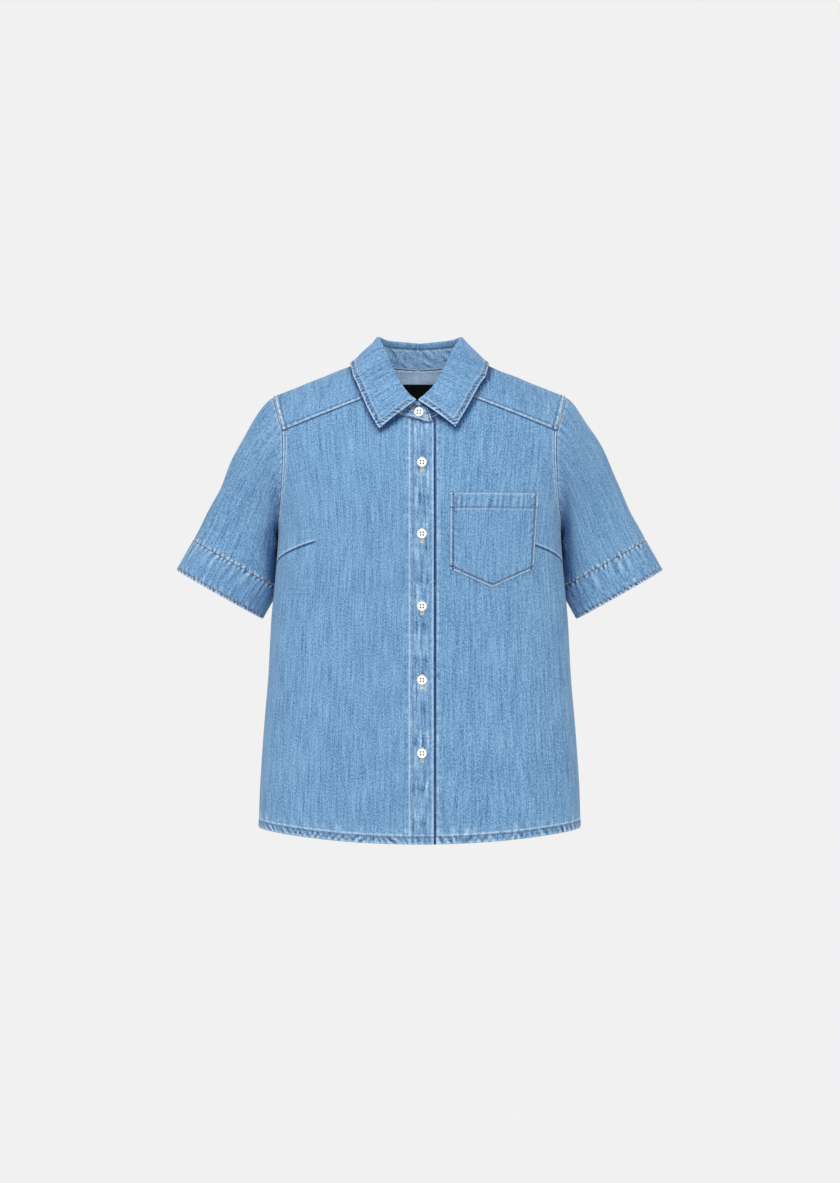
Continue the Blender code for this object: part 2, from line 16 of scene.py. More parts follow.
import bpy
import numpy as np
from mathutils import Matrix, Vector


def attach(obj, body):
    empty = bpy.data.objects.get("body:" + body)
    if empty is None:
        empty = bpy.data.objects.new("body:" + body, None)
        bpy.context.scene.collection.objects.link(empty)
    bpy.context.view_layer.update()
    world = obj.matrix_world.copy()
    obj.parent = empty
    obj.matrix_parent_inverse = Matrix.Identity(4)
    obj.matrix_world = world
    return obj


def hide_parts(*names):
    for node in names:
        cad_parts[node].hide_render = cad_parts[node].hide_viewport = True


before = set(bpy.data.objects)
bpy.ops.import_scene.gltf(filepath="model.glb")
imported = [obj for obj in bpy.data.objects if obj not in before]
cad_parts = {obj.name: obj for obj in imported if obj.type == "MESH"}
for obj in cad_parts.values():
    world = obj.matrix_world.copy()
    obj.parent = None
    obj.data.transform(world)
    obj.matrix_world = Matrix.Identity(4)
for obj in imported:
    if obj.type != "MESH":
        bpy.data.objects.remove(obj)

log = logging.getLogger("denim_shirt")
joined = np.concatenate
Array = np.ndarray
Colour = tuple[float, float, float]
Piece = bpy.types.Object

BODY = "root"
CLOTH = 0.0012  # one finished layer of denim
SEAM_GAP = 0.0003  # between two pieces sewn together
LAYER = CLOTH + SEAM_GAP
HALF_GAP = SEAM_GAP / 2
MILLIMETRE = 0.001
TINY = 1e-9
TURN = 2 * math.pi  # once round
PAST_EDGE = -0.01  # where a band starts that reaches an edge


# ---- Small measures
def stack(x: Array, y: Array, z: Array) -> Array:
    """Points from their three coordinates."""
    return np.stack(np.broadcast_arrays(x, y, z), axis=-1)


def unit(vectors: Array) -> Array:
    """Vectors at length one."""
    return vectors / np.maximum(np.linalg.norm(vectors, axis=-1, keepdims=True), TINY)


def lengths_of(line: Array) -> Array:
    """Distance of each point of a line from its start."""
    return np.pad(np.cumsum(np.linalg.norm(np.diff(line, axis=0), axis=1)), (1, 0))


def read_line(where: Array, at: Array, line: Array) -> Array:
    """A line of points or directions, read at distances along it."""
    return np.stack([np.interp(where, at, line[:, k]) for k in range(3)], axis=1)


def ease(t: Array) -> Array:
    """From 0 to 1 with level ends."""
    t = np.clip(t, 0, 1)
    return t * t * (3 - 2 * t)


def bell(distance: Array, width: float) -> Array:
    """1 at no distance, falling off softly over the width."""
    return np.exp(-((distance / width) ** 2))


def band(distance: Array, start: float, stop: float, soft: float) -> Array:
    """1 between two distances, with soft ends."""
    rise = ease((distance - start) / soft + 0.5)
    return rise * (1 - ease((distance - stop) / soft + 0.5))


def shares(length: float, step: float, *fine: tuple[float, float, float]) -> Array:
    """Places from 0 to 1 along a length, closer together in the stretches that need it.

    Args:
        length: The whole length.
        step: Spacing where nothing finer is asked for.
        fine: Stretches as (start, stop, spacing), in metres along the length.

    Returns:
        The places, as shares of the length.
    """
    places, at = [0.0], 0.0
    while at < length:
        spacing = min([step, *(s[2] for s in fine if s[0] - step < at < s[1])])
        at += spacing
        places.append(at)
    return np.array(places) / at


def smooth(table: Sequence[tuple], column: str, at: Array) -> Array:
    """One column of a table, read at its first column's value, without corners.

    Args:
        table: Rows, each a named tuple.
        column: Name of the column that is read.
        at: Where to read, in the first column's unit.

    Returns:
        The column's values there.
    """
    rows = sorted(table)
    keys = np.array([row[0] for row in rows])
    values = np.array([getattr(row, column) for row in rows])
    slopes = np.gradient(values, keys)
    at = np.clip(at, keys[0], keys[-1])
    left = np.clip(np.searchsorted(keys, at) - 1, 0, len(keys) - 2)
    width = keys[left + 1] - keys[left]
    t = (at - keys[left]) / width
    rest = 1 - t
    ends = rest**2 * (1 + 2 * t) * values[left] + t**2 * (3 - 2 * t) * values[left + 1]
    return ends + width * t * rest * (rest * slopes[left] - t * slopes[left + 1])


class Unevenness:
    """Smooth waves of uneven height and length, the same in each run."""

    def __init__(self, seed: int) -> None:
        """Args: seed: Which set of waves this is."""
        chance = np.random.default_rng(seed)
        self.phases = chance.uniform(0, TURN, 7)
        self.turns = chance.uniform(0, TURN, 7)
        self.rates = np.array([0.53, 0.71, 0.87, 1.0, 1.19, 1.43, 1.77])

    def along(self, run: Array, period: float) -> Array:
        """Waves along a line, between -1 and 1.

        Args:
            run: Distance along the line.
            period: Usual length of a wave.

        Returns:
            The waves' height.
        """
        parts = [
            np.sin(TURN * run * rate / period + phase)
            for rate, phase in zip(self.rates, self.phases)
        ]
        return sum(parts) / 3.2

    def over(self, u: Array, v: Array, size: float, stretch: float = 1.0) -> Array:
        """Waves over a surface, between about -1 and 1.

        Args:
            u: Distance across.
            v: Distance up.
            size: Usual length of a wave.
            stretch: How much longer the waves are upwards than across.

        Returns:
            The waves' height.
        """
        parts = [
            np.sin(
                TURN * rate / size * (u * math.cos(turn) + v * math.sin(turn) / stretch)
                + phase
            )
            for rate, phase, turn in zip(self.rates, self.phases, self.turns)
        ]
        return sum(parts) / 3.2


# ---- The form that the shirt keeps
class Level(NamedTuple):
    """A level section of the body of the shirt."""

    z: float
    half_width: float
    front: float
    back: float


class Crease(NamedTuple):
    """A soft ridge, or a trough where its height is negative, between two places."""

    x: float
    z: float
    to_x: float
    to_z: float
    width: float
    height: float


@dataclass(frozen=True)
class Form:
    """The hollow form: level sections closed over the shoulders by a sloping line."""

    tip_x: float = 0.19
    tip_z: float = -0.0354
    slope: float = 0.4
    rounding: float = 0.07
    fullness: float = 2.6
    levels: tuple[Level, ...] = (
        Level(-0.64, 0.209, 0.106, 0.108),
        Level(-0.56, 0.2085, 0.103, 0.104),
        Level(-0.48, 0.2035, 0.098, 0.097),
        Level(-0.4, 0.1968, 0.094, 0.091),
        Level(-0.326, 0.1928, 0.094, 0.088),
        Level(-0.248, 0.1856, 0.099, 0.091),
        Level(-0.212, 0.1836, 0.101, 0.094),
        Level(-0.183, 0.186, 0.101, 0.095),
        Level(-0.14, 0.1938, 0.096, 0.095),
        Level(-0.1, 0.2, 0.086, 0.09),
        Level(-0.06, 0.204, 0.07, 0.082),
        Level(-0.02, 0.206, 0.05, 0.071),
        Level(0.01, 0.2065, 0.042, 0.064),
        Level(0.05, 0.2065, 0.036, 0.058),
    )

    @property
    def power(self) -> float:
        """Exponent that gives the level sections their fullness."""
        return 2 / self.fullness

    def shoulder_line(self, x: Array) -> Array:
        """Height of the shoulder line at x."""
        return self.tip_z + (self.tip_x - np.abs(x)) * self.slope

    def depth(self, z: Array, behind: Array) -> Array:
        """Depth of the form at a height, in front or behind."""
        back, front = (smooth(self.levels, side, z) for side in ("back", "front"))
        return np.where(behind, back, front)

    def torso(self, bearing: Array, z: Array) -> Array:
        """Points at a bearing from the centre front, towards the left, and a height."""
        sine, cosine = np.sin(bearing), np.cos(bearing)
        width = smooth(self.levels, "half_width", z)
        x = width * np.sign(sine) * np.abs(sine) ** self.power
        near = np.clip((self.shoulder_line(x) - z) / self.rounding, 0, 1)
        round_off = np.sqrt(1 - (1 - near) ** 2)
        reach = self.depth(z, cosine < 0) * np.abs(cosine) ** self.power
        return stack(x, -np.sign(cosine) * reach * round_off, z)

    def side_at(self, y: Array, z: Array) -> Array:
        """Half width of the body at y and z, some way below the shoulders."""
        reach = np.clip(np.abs(y) / self.depth(z, y > 0), 0, 1)
        across = (1 - reach ** (2 / self.power)) ** (self.power / 2)
        return smooth(self.levels, "half_width", z) * across

    def shoulder(self, x: Array, turn: Array) -> Array:
        """Points at x, turned over the shoulder line by an angle, backwards if positive."""
        angle, upright = np.abs(turn), math.pi / 2
        drop = np.where(angle < upright, 1 - np.cos(angle), 1 + angle - upright)
        z = self.shoulder_line(x) - self.rounding * drop
        reach = np.clip(np.abs(x) / smooth(self.levels, "half_width", z), 0, 1)
        across = (1 - reach**self.fullness) ** (1 / self.fullness)
        side = np.sign(turn) * np.sin(np.minimum(angle, upright))
        return stack(x, side * self.depth(z, turn > 0) * across, z)

    def turn_at(self, x: Array, z: Array) -> Array:
        """The turn over the shoulder line that comes down to a height, always positive."""
        drop = (self.shoulder_line(x) - z) / self.rounding
        over = np.arccos(np.clip(1 - drop, -1, 1))
        return np.where(drop < 1, over, math.pi / 2 + drop - 1)

    def bearing_at(self, x: Array, z: Array) -> Array:
        """Bearing of the point in front at x and z."""
        reach = np.clip(np.abs(x) / smooth(self.levels, "half_width", z), 0, 1)
        return np.sign(x) * np.arcsin(reach ** (1 / self.power))


def outward(surface: Callable[[Array, Array], Array], first: Array, second: Array) -> Array:
    """Outward directions of a surface of two parameters."""
    step = 1e-4
    along = surface(first + step, second) - surface(first - step, second)
    up = surface(first, second + step) - surface(first, second - step)
    return unit(np.cross(along, up))


def lifted(
    surface: Callable[[Array, Array], Array], first: Array, second: Array, lift: Array
) -> Array:
    """Points of a surface of two parameters, moved out from it."""
    out = outward(surface, first, second)
    return surface(first, second) + np.asarray(lift)[..., None] * out


# ---- The cut: seam lines on the form
@dataclass(frozen=True)
class Cut:
    """Seam lines of the body of the shirt, drawn on its form, with the cloth's soft drape."""

    form: Form = Form()
    neck_half_width: float = 0.066
    neck_front_z: float = -0.067
    neck_back_z: float = 0.002
    neck_corner_x: float = 0.054
    yoke_front_z: float = -0.081
    yoke_back_z: float = -0.095
    underarm_z: float = -0.212
    side_seam: float = math.radians(96)
    arm_front: float = math.radians(57)
    arm_back: float = math.radians(122)
    arm_curve: float = 1.8
    hem_front_z: float = -0.612
    hem_rise: float = 0.016
    tab_drop: float = 0.007
    tab_start_x: float = -0.01
    tab_end: float = 194.0
    girth_radius: float = 0.12  # turns a small bearing into a length round the body
    waist_z: float = -0.36
    seam_fade: float = 0.045  # over this the drape dies away towards a seam
    soft_height: float = 0.0011
    soft_size: float = 0.13
    front_creases: tuple[Crease, ...] = (
        Crease(-0.165, -0.205, -0.11, -0.25, 0.01, 0.001),
        Crease(-0.16, -0.185, -0.085, -0.215, 0.012, 0.0008),
        Crease(0.168, -0.215, 0.12, -0.3, 0.011, 0.0009),
        Crease(-0.15, -0.33, -0.1, -0.47, 0.016, 0.0012),
        Crease(-0.105, -0.42, -0.085, -0.59, 0.018, 0.0014),
        Crease(-0.06, -0.25, -0.05, -0.4, 0.014, -0.0008),
        Crease(0.07, -0.33, 0.085, -0.5, 0.018, 0.0012),
        Crease(0.135, -0.4, 0.15, -0.59, 0.016, 0.0013),
        Crease(0.11, -0.47, 0.115, -0.6, 0.013, -0.001),
        Crease(0.04, -0.42, 0.046, -0.6, 0.013, -0.0008),
    )
    back_creases: tuple[Crease, ...] = (
        Crease(-0.15, -0.19, -0.07, -0.235, 0.012, 0.002),
        Crease(0.15, -0.2, 0.08, -0.25, 0.012, 0.0018),
        Crease(-0.02, -0.11, -0.026, -0.33, 0.016, -0.0018),
        Crease(0.03, -0.11, 0.044, -0.35, 0.016, 0.0018),
        Crease(-0.11, -0.33, -0.14, -0.57, 0.02, 0.0026),
        Crease(0.1, -0.35, 0.125, -0.59, 0.02, 0.0024),
        Crease(-0.03, -0.4, -0.04, -0.6, 0.018, 0.002),
        Crease(0.04, -0.42, 0.034, -0.6, 0.015, -0.0018),
    )

    def neck_z(self, x: Array) -> Array:
        """Height of the neck's edge in front, at x."""
        sine = np.clip(np.abs(x) / self.neck_half_width, 0, 1)
        side_z = self.form.shoulder_line(self.neck_half_width)
        return self.neck_front_z + (side_z - self.neck_front_z) * (1 - np.sqrt(1 - sine**2))

    def neck_edge(self, bearing: Array) -> tuple[Array, Array]:
        """The neck's edge at a bearing in degrees from the centre back.

        Args:
            bearing: From 0, the centre back, to 180, the centre front.

        Returns:
            Its x, and its turn over the shoulder line.
        """
        sine, cosine = np.sin(np.radians(bearing)), np.cos(np.radians(bearing))
        x = self.neck_half_width * sine
        side_z = self.form.shoulder_line(self.neck_half_width)
        middle_z = np.where(cosine > 0, self.neck_back_z, self.neck_front_z)
        z = middle_z + (side_z - middle_z) * (1 - np.abs(cosine))
        return x, np.sign(cosine) * self.form.turn_at(x, z)

    def yoke_z(self, x: Array) -> Array:
        """Height of the front yoke seam at x."""
        corner_z = self.neck_z(self.neck_corner_x)
        arm_x = self.form.torso(self.arm_front, self.yoke_front_z)[0]
        share = (np.abs(x) - self.neck_corner_x) / (arm_x - self.neck_corner_x)
        return corner_z + (self.yoke_front_z - corner_z) * share

    def front_top_z(self, x: Array) -> Array:
        """Height of a front panel's upper edge at x: the neck, then the yoke seam."""
        return np.where(np.abs(x) < self.neck_corner_x, self.neck_z(x), self.yoke_z(x))

    def armhole_bearing(self, z: Array, corner: float, corner_z: float) -> Array:
        """Bearing of the armhole's edge at a height, up to its corner at the yoke."""
        height = np.clip((z - self.underarm_z) / (corner_z - self.underarm_z), 0, 1)
        out = (1 - (1 - height) ** self.arm_curve) ** (1 / self.arm_curve)
        return self.side_seam + (corner - self.side_seam) * out

    def hem_z(self, bearing: Array) -> Array:
        """Height of the hem at a bearing."""
        return self.hem_front_z + self.hem_rise * np.abs(np.sin(bearing)) ** 1.5

    def tab_dip(self, x: Array) -> Array:
        """How far the stand's overlapping end dips below the neck's edge at x."""
        tab_x = self.neck_half_width * math.sin(math.radians(self.tab_end - 180))
        return self.tab_drop * ease((x - self.tab_start_x) / (tab_x - self.tab_start_x))

    def creased(self, creases: Iterable[Crease], x: Array, z: Array) -> Array:
        """Height that soft creases give the cloth at x and z."""
        total = np.zeros(np.broadcast(x, z).shape)
        for number, crease in enumerate(creases):
            run = np.array((crease.to_x - crease.x, crease.to_z - crease.z))
            length = float(np.linalg.norm(run))
            along = ((x - crease.x) * run[0] + (z - crease.z) * run[1]) / length
            across = ((x - crease.x) * run[1] - (z - crease.z) * run[0]) / length
            across = across + 0.004 * Unevenness(number + 40).along(along, 0.09)
            fade = ease(along / (0.35 * length)) * ease((length - along) / (0.35 * length))
            total = total + crease.height * fade * bell(across, crease.width)
        return total

    def drape(self, bearing: Array, z: Array) -> Array:
        """How far the cloth stands off the form between the seams of the body."""
        around = np.abs((bearing + math.pi) % TURN - math.pi)
        x = self.form.torso(bearing, z)[..., 0]
        front_edge = self.armhole_bearing(z, self.arm_front, self.yoke_front_z)
        back_edge = self.armhole_bearing(z, self.arm_back, self.yoke_back_z)
        behind = around > self.side_seam
        inside = np.where(behind, around - back_edge, front_edge - around)
        below = np.where(behind, self.yoke_back_z, self.yoke_z(x)) - z
        fade = ease(inside * self.girth_radius / self.seam_fade)
        fade = fade * ease(below / self.seam_fade)
        front, back = (
            Unevenness(seed).over(x, z, self.soft_size, 2.2) * self.soft_height
            + self.creased(creases, x, z)
            for seed, creases in ((3, self.front_creases), (4, self.back_creases))
        )
        return fade * np.where(behind, back, front)

    def cloth(self, bearing: Array, z: Array, lift: Array = 0.0) -> Array:
        """Points of the draped body, moved out by lift."""
        return lifted(self.form.torso, bearing, z, self.drape(bearing, z) + lift)

    def in_front(self, x: Array, z: Array, lift: Array = 0.0) -> Array:
        """Points of the draped front at x and z, moved out by lift."""
        return self.cloth(self.form.bearing_at(x, z), z, lift)

    def over_shoulder(self, x: Array, turn: Array, lift: Array = 0.0) -> Array:
        """Points over the shoulders, moved out by lift."""
        return lifted(self.form.shoulder, x, turn, lift)

    def yoke_arm_edge(self, steps: int) -> tuple[Array, Array]:
        """The yoke's edge at the left arm, from its front corner to its back one.

        Args:
            steps: How many points.

        Returns:
            Their x, and their turn over the shoulder line.
        """
        front_x, _, front_z = self.form.torso(self.arm_front, self.yoke_front_z)
        back_x, _, back_z = self.form.torso(self.arm_back, self.yoke_back_z)
        low = -self.form.turn_at(front_x, front_z + HALF_GAP)
        high = self.form.turn_at(back_x, back_z + HALF_GAP)
        turn = np.linspace(low, high, steps)
        corner_x = np.where(turn < 0, front_x, back_x)
        corner = np.where(turn < 0, low, high)
        drop = (1 - np.cos(turn)) / (1 - np.cos(corner))
        return self.form.tip_x + (corner_x - self.form.tip_x) * drop, turn

    def around(self, bearing: Array) -> Array:
        """Distance round the body from the middle of its front, at the height of the waist."""
        turn = np.linspace(-math.pi, TURN, 541)
        ring = self.form.torso(turn, self.waist_z + 0 * turn)
        at = lengths_of(ring)
        return np.interp(bearing, turn, at - np.interp(0.0, turn, at))


# ---- Cloth as a grid of points
class Edge(Enum):
    """The four edges of a grid: its first and last column, its first and last row."""

    LEFT = "first column"
    RIGHT = "last column"
    BOTTOM = "first row"
    TOP = "last row"


ENDS = (Edge.LEFT, Edge.RIGHT)


class ClothGrid:
    """Rows and columns of points through a piece of cloth, facing outwards.

    Rows run up the piece and columns across it, so that a point's distance from each of
    the four edges is known.  The relief, the worn and the deep places are worked out from
    these distances.
    """

    def __init__(self, points: Array, closed: bool = False) -> None:
        """Takes the points.

        Args:
            points: Rows x columns x 3.
            closed: Whether the last column repeats the first one, as round a tube.
        """
        self.points = points
        self.closed = closed
        across = np.linalg.norm(np.diff(points, axis=1), axis=-1)
        up = np.linalg.norm(np.diff(points, axis=0), axis=-1)
        self.u = np.pad(np.cumsum(across, axis=1), ((0, 0), (1, 0)))
        self.v = np.pad(np.cumsum(up, axis=0), ((1, 0), (0, 0)))
        self.grain_u = self.u[:, -1].mean() * self.u / self.u[:, -1:]
        self.grain_v = self.v
        self.relief = np.zeros(points.shape[:2])
        self.worn = np.zeros(points.shape[:2])
        self.deep = np.zeros(points.shape[:2])
        self.seed = 1  # which of the uneven waves its puckers follow

    def xyz(self) -> list[Array]:
        """The three coordinates of the points."""
        return [self.points[..., axis] for axis in range(3)]

    def add(self, relief: Array = 0.0, worn: Array = 0.0, deep: Array = 0.0) -> None:
        """Adds to the relief in metres, and to the worn and the deep places."""
        self.relief = self.relief + relief
        self.worn = self.worn + worn
        self.deep = self.deep + deep

    def area(self) -> float:
        """Area of the cloth."""
        across = np.diff(self.points, axis=1)[:-1]
        up = np.diff(self.points, axis=0)[:, :-1]
        return float(np.linalg.norm(np.cross(across, up), axis=-1).sum())

    def inside(self, edge: Edge) -> Array:
        """Each point's distance from an edge."""
        return {
            Edge.LEFT: self.u,
            Edge.RIGHT: self.u[:, -1:] - self.u,
            Edge.BOTTOM: self.v,
            Edge.TOP: self.v[-1:] - self.v,
        }[edge]

    def within(self, *margins: tuple[Edge, float]) -> Array:
        """0 at the named edges, rising to 1 over their margins."""
        return math.prod(ease(self.inside(edge) / margin) for edge, margin in margins)

    def out(self) -> Array:
        """Outward direction at each point."""
        if self.closed:
            ring = joined([self.points[:, -2:-1], self.points, self.points[:, 1:2]], 1)
            across = ring[:, 2:] - ring[:, :-2]
        else:
            across = np.gradient(self.points, axis=1)
        return unit(np.cross(across, np.gradient(self.points, axis=0)))

    def settle(self) -> None:
        """Moves the points out by the relief."""
        self.relief[:, -1] = self.relief[:, 0] if self.closed else self.relief[:, -1]
        self.points = self.points + self.relief[..., None] * self.out()

    def add_relief(self, height: Array, worn: float = 0.0, deep: float = 0.0) -> None:
        """Adds to the relief, with ridges worn pale and troughs left deep.

        Args:
            height: Height at each point, in metres.
            worn: How worn a ridge 1 mm high is.
            deep: How deep in colour a trough 1 mm low is.
        """
        ridge, trough = np.clip(height, 0, None), np.clip(-height, 0, None)
        self.add(height, worn * ridge / MILLIMETRE, deep * trough / MILLIMETRE)

    def roll(self, edge: Edge, worn: float = 0.0, drop: float = 0.0004) -> None:
        """Turns an edge in a little, where the cloth is folded under, worn on its rim."""
        distance = self.inside(edge)
        rim = worn * bell(distance - 0.0012, 0.0012)
        self.add(-drop * bell(distance, 0.0011), worn=rim)

    def ridge(self, edge: Edge, width: float, height: Array, soft: float = 0.0018) -> None:
        """Raises a stretch beside an edge, where turned cloth lies under it."""
        self.add(height * band(self.inside(edge), PAST_EDGE, width, soft))

    def stitch_trough(self, edge: Edge, inset: float, depth: float) -> None:
        """Draws the cloth in under a row of stitches."""
        trough = bell(self.inside(edge) - inset, 0.001)
        self.add(-depth * trough, deep=0.22 * trough)

    def pucker(
        self,
        edge: Edge,
        inset: float,
        reach: float,
        period: float = 0.009,
        height: float = 0.0003,
        slant: float = 0.0,
        worn: float = 1.1,
        deep: float = 1.1,
    ) -> None:
        """Puckers that a seam pulls into the cloth beside it.

        Args:
            edge: The edge that the seam follows.
            inset: Distance of the puckers' middle from the edge.
            reach: How far they reach to each side.
            period: Usual spacing.
            height: Height of a ridge.
            slant: How far a ridge runs along for each length inwards.
            worn: How worn their ridges are.
            deep: How deep in colour their troughs are.
        """
        across = self.inside(edge) - inset
        run = self.v if edge in ENDS else self.u
        uneven = Unevenness(self.seed * 17 + len(edge.value))
        phase = (run + slant * across) / period
        waves = np.sin(TURN * phase + 2.2 * uneven.along(run, period * 6))
        strength = 0.7 + 0.5 * uneven.along(run + 0.3, period * 3.4)
        self.add_relief(height * waves * strength * bell(across, reach), worn, deep)

    def read(self, values: Array, row: Array, column: Array) -> Array:
        """Values of the grid at places between its rows and columns."""
        low_row = np.clip(np.floor(row).astype(int), 0, values.shape[0] - 2)
        low_column = np.clip(np.floor(column).astype(int), 0, values.shape[1] - 2)
        up, across = row - low_row, column - low_column
        if values.ndim == 3:
            up, across = up[..., None], across[..., None]
        lower = values[low_row, low_column] * (1 - across)
        lower = lower + values[low_row, low_column + 1] * across
        upper = values[low_row + 1, low_column] * (1 - across)
        upper = upper + values[low_row + 1, low_column + 1] * across
        return lower * (1 - up) + upper * up

    def line(self, edge: Edge, inset: float, clear: tuple[float, float]) -> Array:
        """A line at a distance from an edge, as points of the settled cloth.

        Args:
            edge: The edge that it follows.
            inset: Its distance from that edge.
            clear: How far it stays from the two edges beside it, the lower or left first.

        Returns:
            Points x 2 x 3: each point of the line with its outward direction.
        """
        upright = edge in ENDS
        distance = self.inside(edge) if upright else self.inside(edge).T
        count = distance.shape[0]
        places = np.arange(distance.shape[1], dtype=float)
        cross = np.empty(count)
        for index in range(count):
            order = np.argsort(distance[index])
            cross[index] = np.interp(inset, distance[index][order], places[order])
        along = np.arange(count, dtype=float)
        row, column = (along, cross) if upright else (cross, along)
        first, last = (Edge.BOTTOM, Edge.TOP) if upright else ENDS
        start = self.read(self.inside(first), row, column)
        stop = self.read(self.inside(last), row, column)
        fine = np.linspace(0, count - 1, count * 4)
        row, column, start, stop = (
            np.interp(fine, along, values) for values in (row, column, start, stop)
        )
        kept = (start >= clear[0]) & (stop >= clear[1])
        row, column = row[kept], column[kept]
        ways = (self.points, self.out())
        return np.stack([self.read(values, row, column) for values in ways], axis=1)


# ---- Shader nodes as expressions
def operator(name: str, swapped: bool = False) -> Callable[["Socket", "Value"], "Socket"]:
    """An operator on values, as a Math node.

    Args:
        name: The node's operation.
        swapped: Whether it is the reflected form, its values the other way round.

    Returns:
        The operator's method.
    """

    def apply(self: "Socket", other: "Value") -> "Socket":
        """The Math node of both values."""
        return self._maths(name, *((other, self) if swapped else (self, other)))

    return apply


class Socket:
    """An output of a shader node, with maths on values written as expressions."""

    def __init__(self, tree: "Nodes", output: bpy.types.NodeSocket | None) -> None:
        """Takes the tree and the output that is wrapped."""
        self.tree = tree
        self.output = output

    def _maths(self, operation: str, *values: "Value") -> "Socket":
        """A Math node of these values."""
        return self.tree.node("ShaderNodeMath", {"operation": operation}, *values)

    __add__, __radd__ = operator("ADD"), operator("ADD", swapped=True)
    __sub__, __rsub__ = operator("SUBTRACT"), operator("SUBTRACT", swapped=True)
    __mul__, __rmul__ = operator("MULTIPLY"), operator("MULTIPLY", swapped=True)

    def sine(self) -> "Socket":
        """Sine of the value."""
        return self._maths("SINE", self)

    def clamped(self) -> "Socket":
        """The value kept between 0 and 1."""
        return self.tree.node("ShaderNodeClamp", {}, self, 0.0, 1.0)

    def eased(self, low: float, high: float) -> "Socket":
        """From 0 at low to 1 at high, with level ends."""
        settings = {"interpolation_type": "SMOOTHSTEP"}
        return self.tree.node("ShaderNodeMapRange", settings, self, low, high, 0.0, 1.0)


Value = Socket | float | Colour


class Nodes:
    """The node tree of one finish."""

    def __init__(self, name: str) -> None:
        """Starts a material with an empty tree."""
        self.material = bpy.data.materials.new(name)
        self.material.use_nodes = True
        self.material.node_tree.nodes.clear()

    def node(
        self,
        kind: str,
        settings: dict[str, object],
        *values: Value,
        named: dict[str, Value] | None = None,
        output: str = "",
    ) -> Socket:
        """Any node of the tree.

        Args:
            kind: The node's type.
            settings: Its properties, set before its sockets.
            values: Values or links of its first sockets, in their order.
            named: Values or links of its sockets by name.
            output: Name of the output that is returned, or the first one if empty.

        Returns:
            The output.
        """
        made = self.material.node_tree.nodes.new(kind)
        for key, value in settings.items():
            setattr(made, key, value)
        sockets = [socket for socket in made.inputs if socket.enabled]
        pairs = list(zip(sockets, values))
        pairs += [(made.inputs[key], value) for key, value in (named or {}).items()]
        for socket, value in pairs:
            self._put(socket, value)
        outputs = [out for out in made.outputs if out.enabled]
        found = [out for out in outputs if output in ("", out.name)]
        return Socket(self, found[0] if found else None)

    def _put(self, socket: bpy.types.NodeSocket, value: Value) -> None:
        """Links or sets one socket."""
        if isinstance(value, Socket):
            self.material.node_tree.links.new(value.output, socket)
        elif socket.type == "RGBA":
            socket.default_value = (*value, 1.0)
        else:
            socket.default_value = value

    def mask(self, name: str) -> Socket:
        """A mask that the mesh holds."""
        return self.node("ShaderNodeAttribute", {"attribute_name": name}, output="Fac")

    def vector(self, x: Value, y: Value, z: Value) -> Socket:
        """A vector from its three parts."""
        return self.node("ShaderNodeCombineXYZ", {}, x, y, z)

    def parts(self, name: str) -> list[Socket]:
        """The three parts of a vector that the mesh holds."""
        settings = {"attribute_name": name}
        vector = self.node("ShaderNodeAttribute", settings, output="Vector")
        split = self.node("ShaderNodeSeparateXYZ", {}, vector)
        return [Socket(self, output) for output in split.output.node.outputs]

    def noise(self, vector: Socket, scale: float, detail: float = 2.0) -> Socket:
        """Smooth noise from 0 to 1."""
        named = {"Vector": vector, "Scale": scale, "Detail": detail, "Roughness": 0.55}
        return self.node("ShaderNodeTexNoise", {}, named=named)

    def mix(self, share: Value, first: Value, second: Value, blend: str = "MIX") -> Socket:
        """A colour between two colours."""
        settings = {"data_type": "RGBA", "blend_type": blend}
        return self.node("ShaderNodeMix", settings, share, first, second)

    def bump(self, height: Socket, distance: float, strength: float = 1.0) -> Socket:
        """A normal bent by a height in metres times the distance."""
        named = {"Height": height, "Distance": distance, "Strength": strength}
        return self.node("ShaderNodeBump", {}, named=named)

    def surface(self, **sockets: Value) -> bpy.types.Material:
        """Finishes the material with a Principled surface.

        Args:
            sockets: Values and links, by socket name with _ for each space.

        Returns:
            The material.
        """
        named = {key.replace("_", " "): value for key, value in sockets.items()}
        shader = self.node("ShaderNodeBsdfPrincipled", {}, named=named)
        self.node("ShaderNodeOutputMaterial", {}, shader)
        return self.material


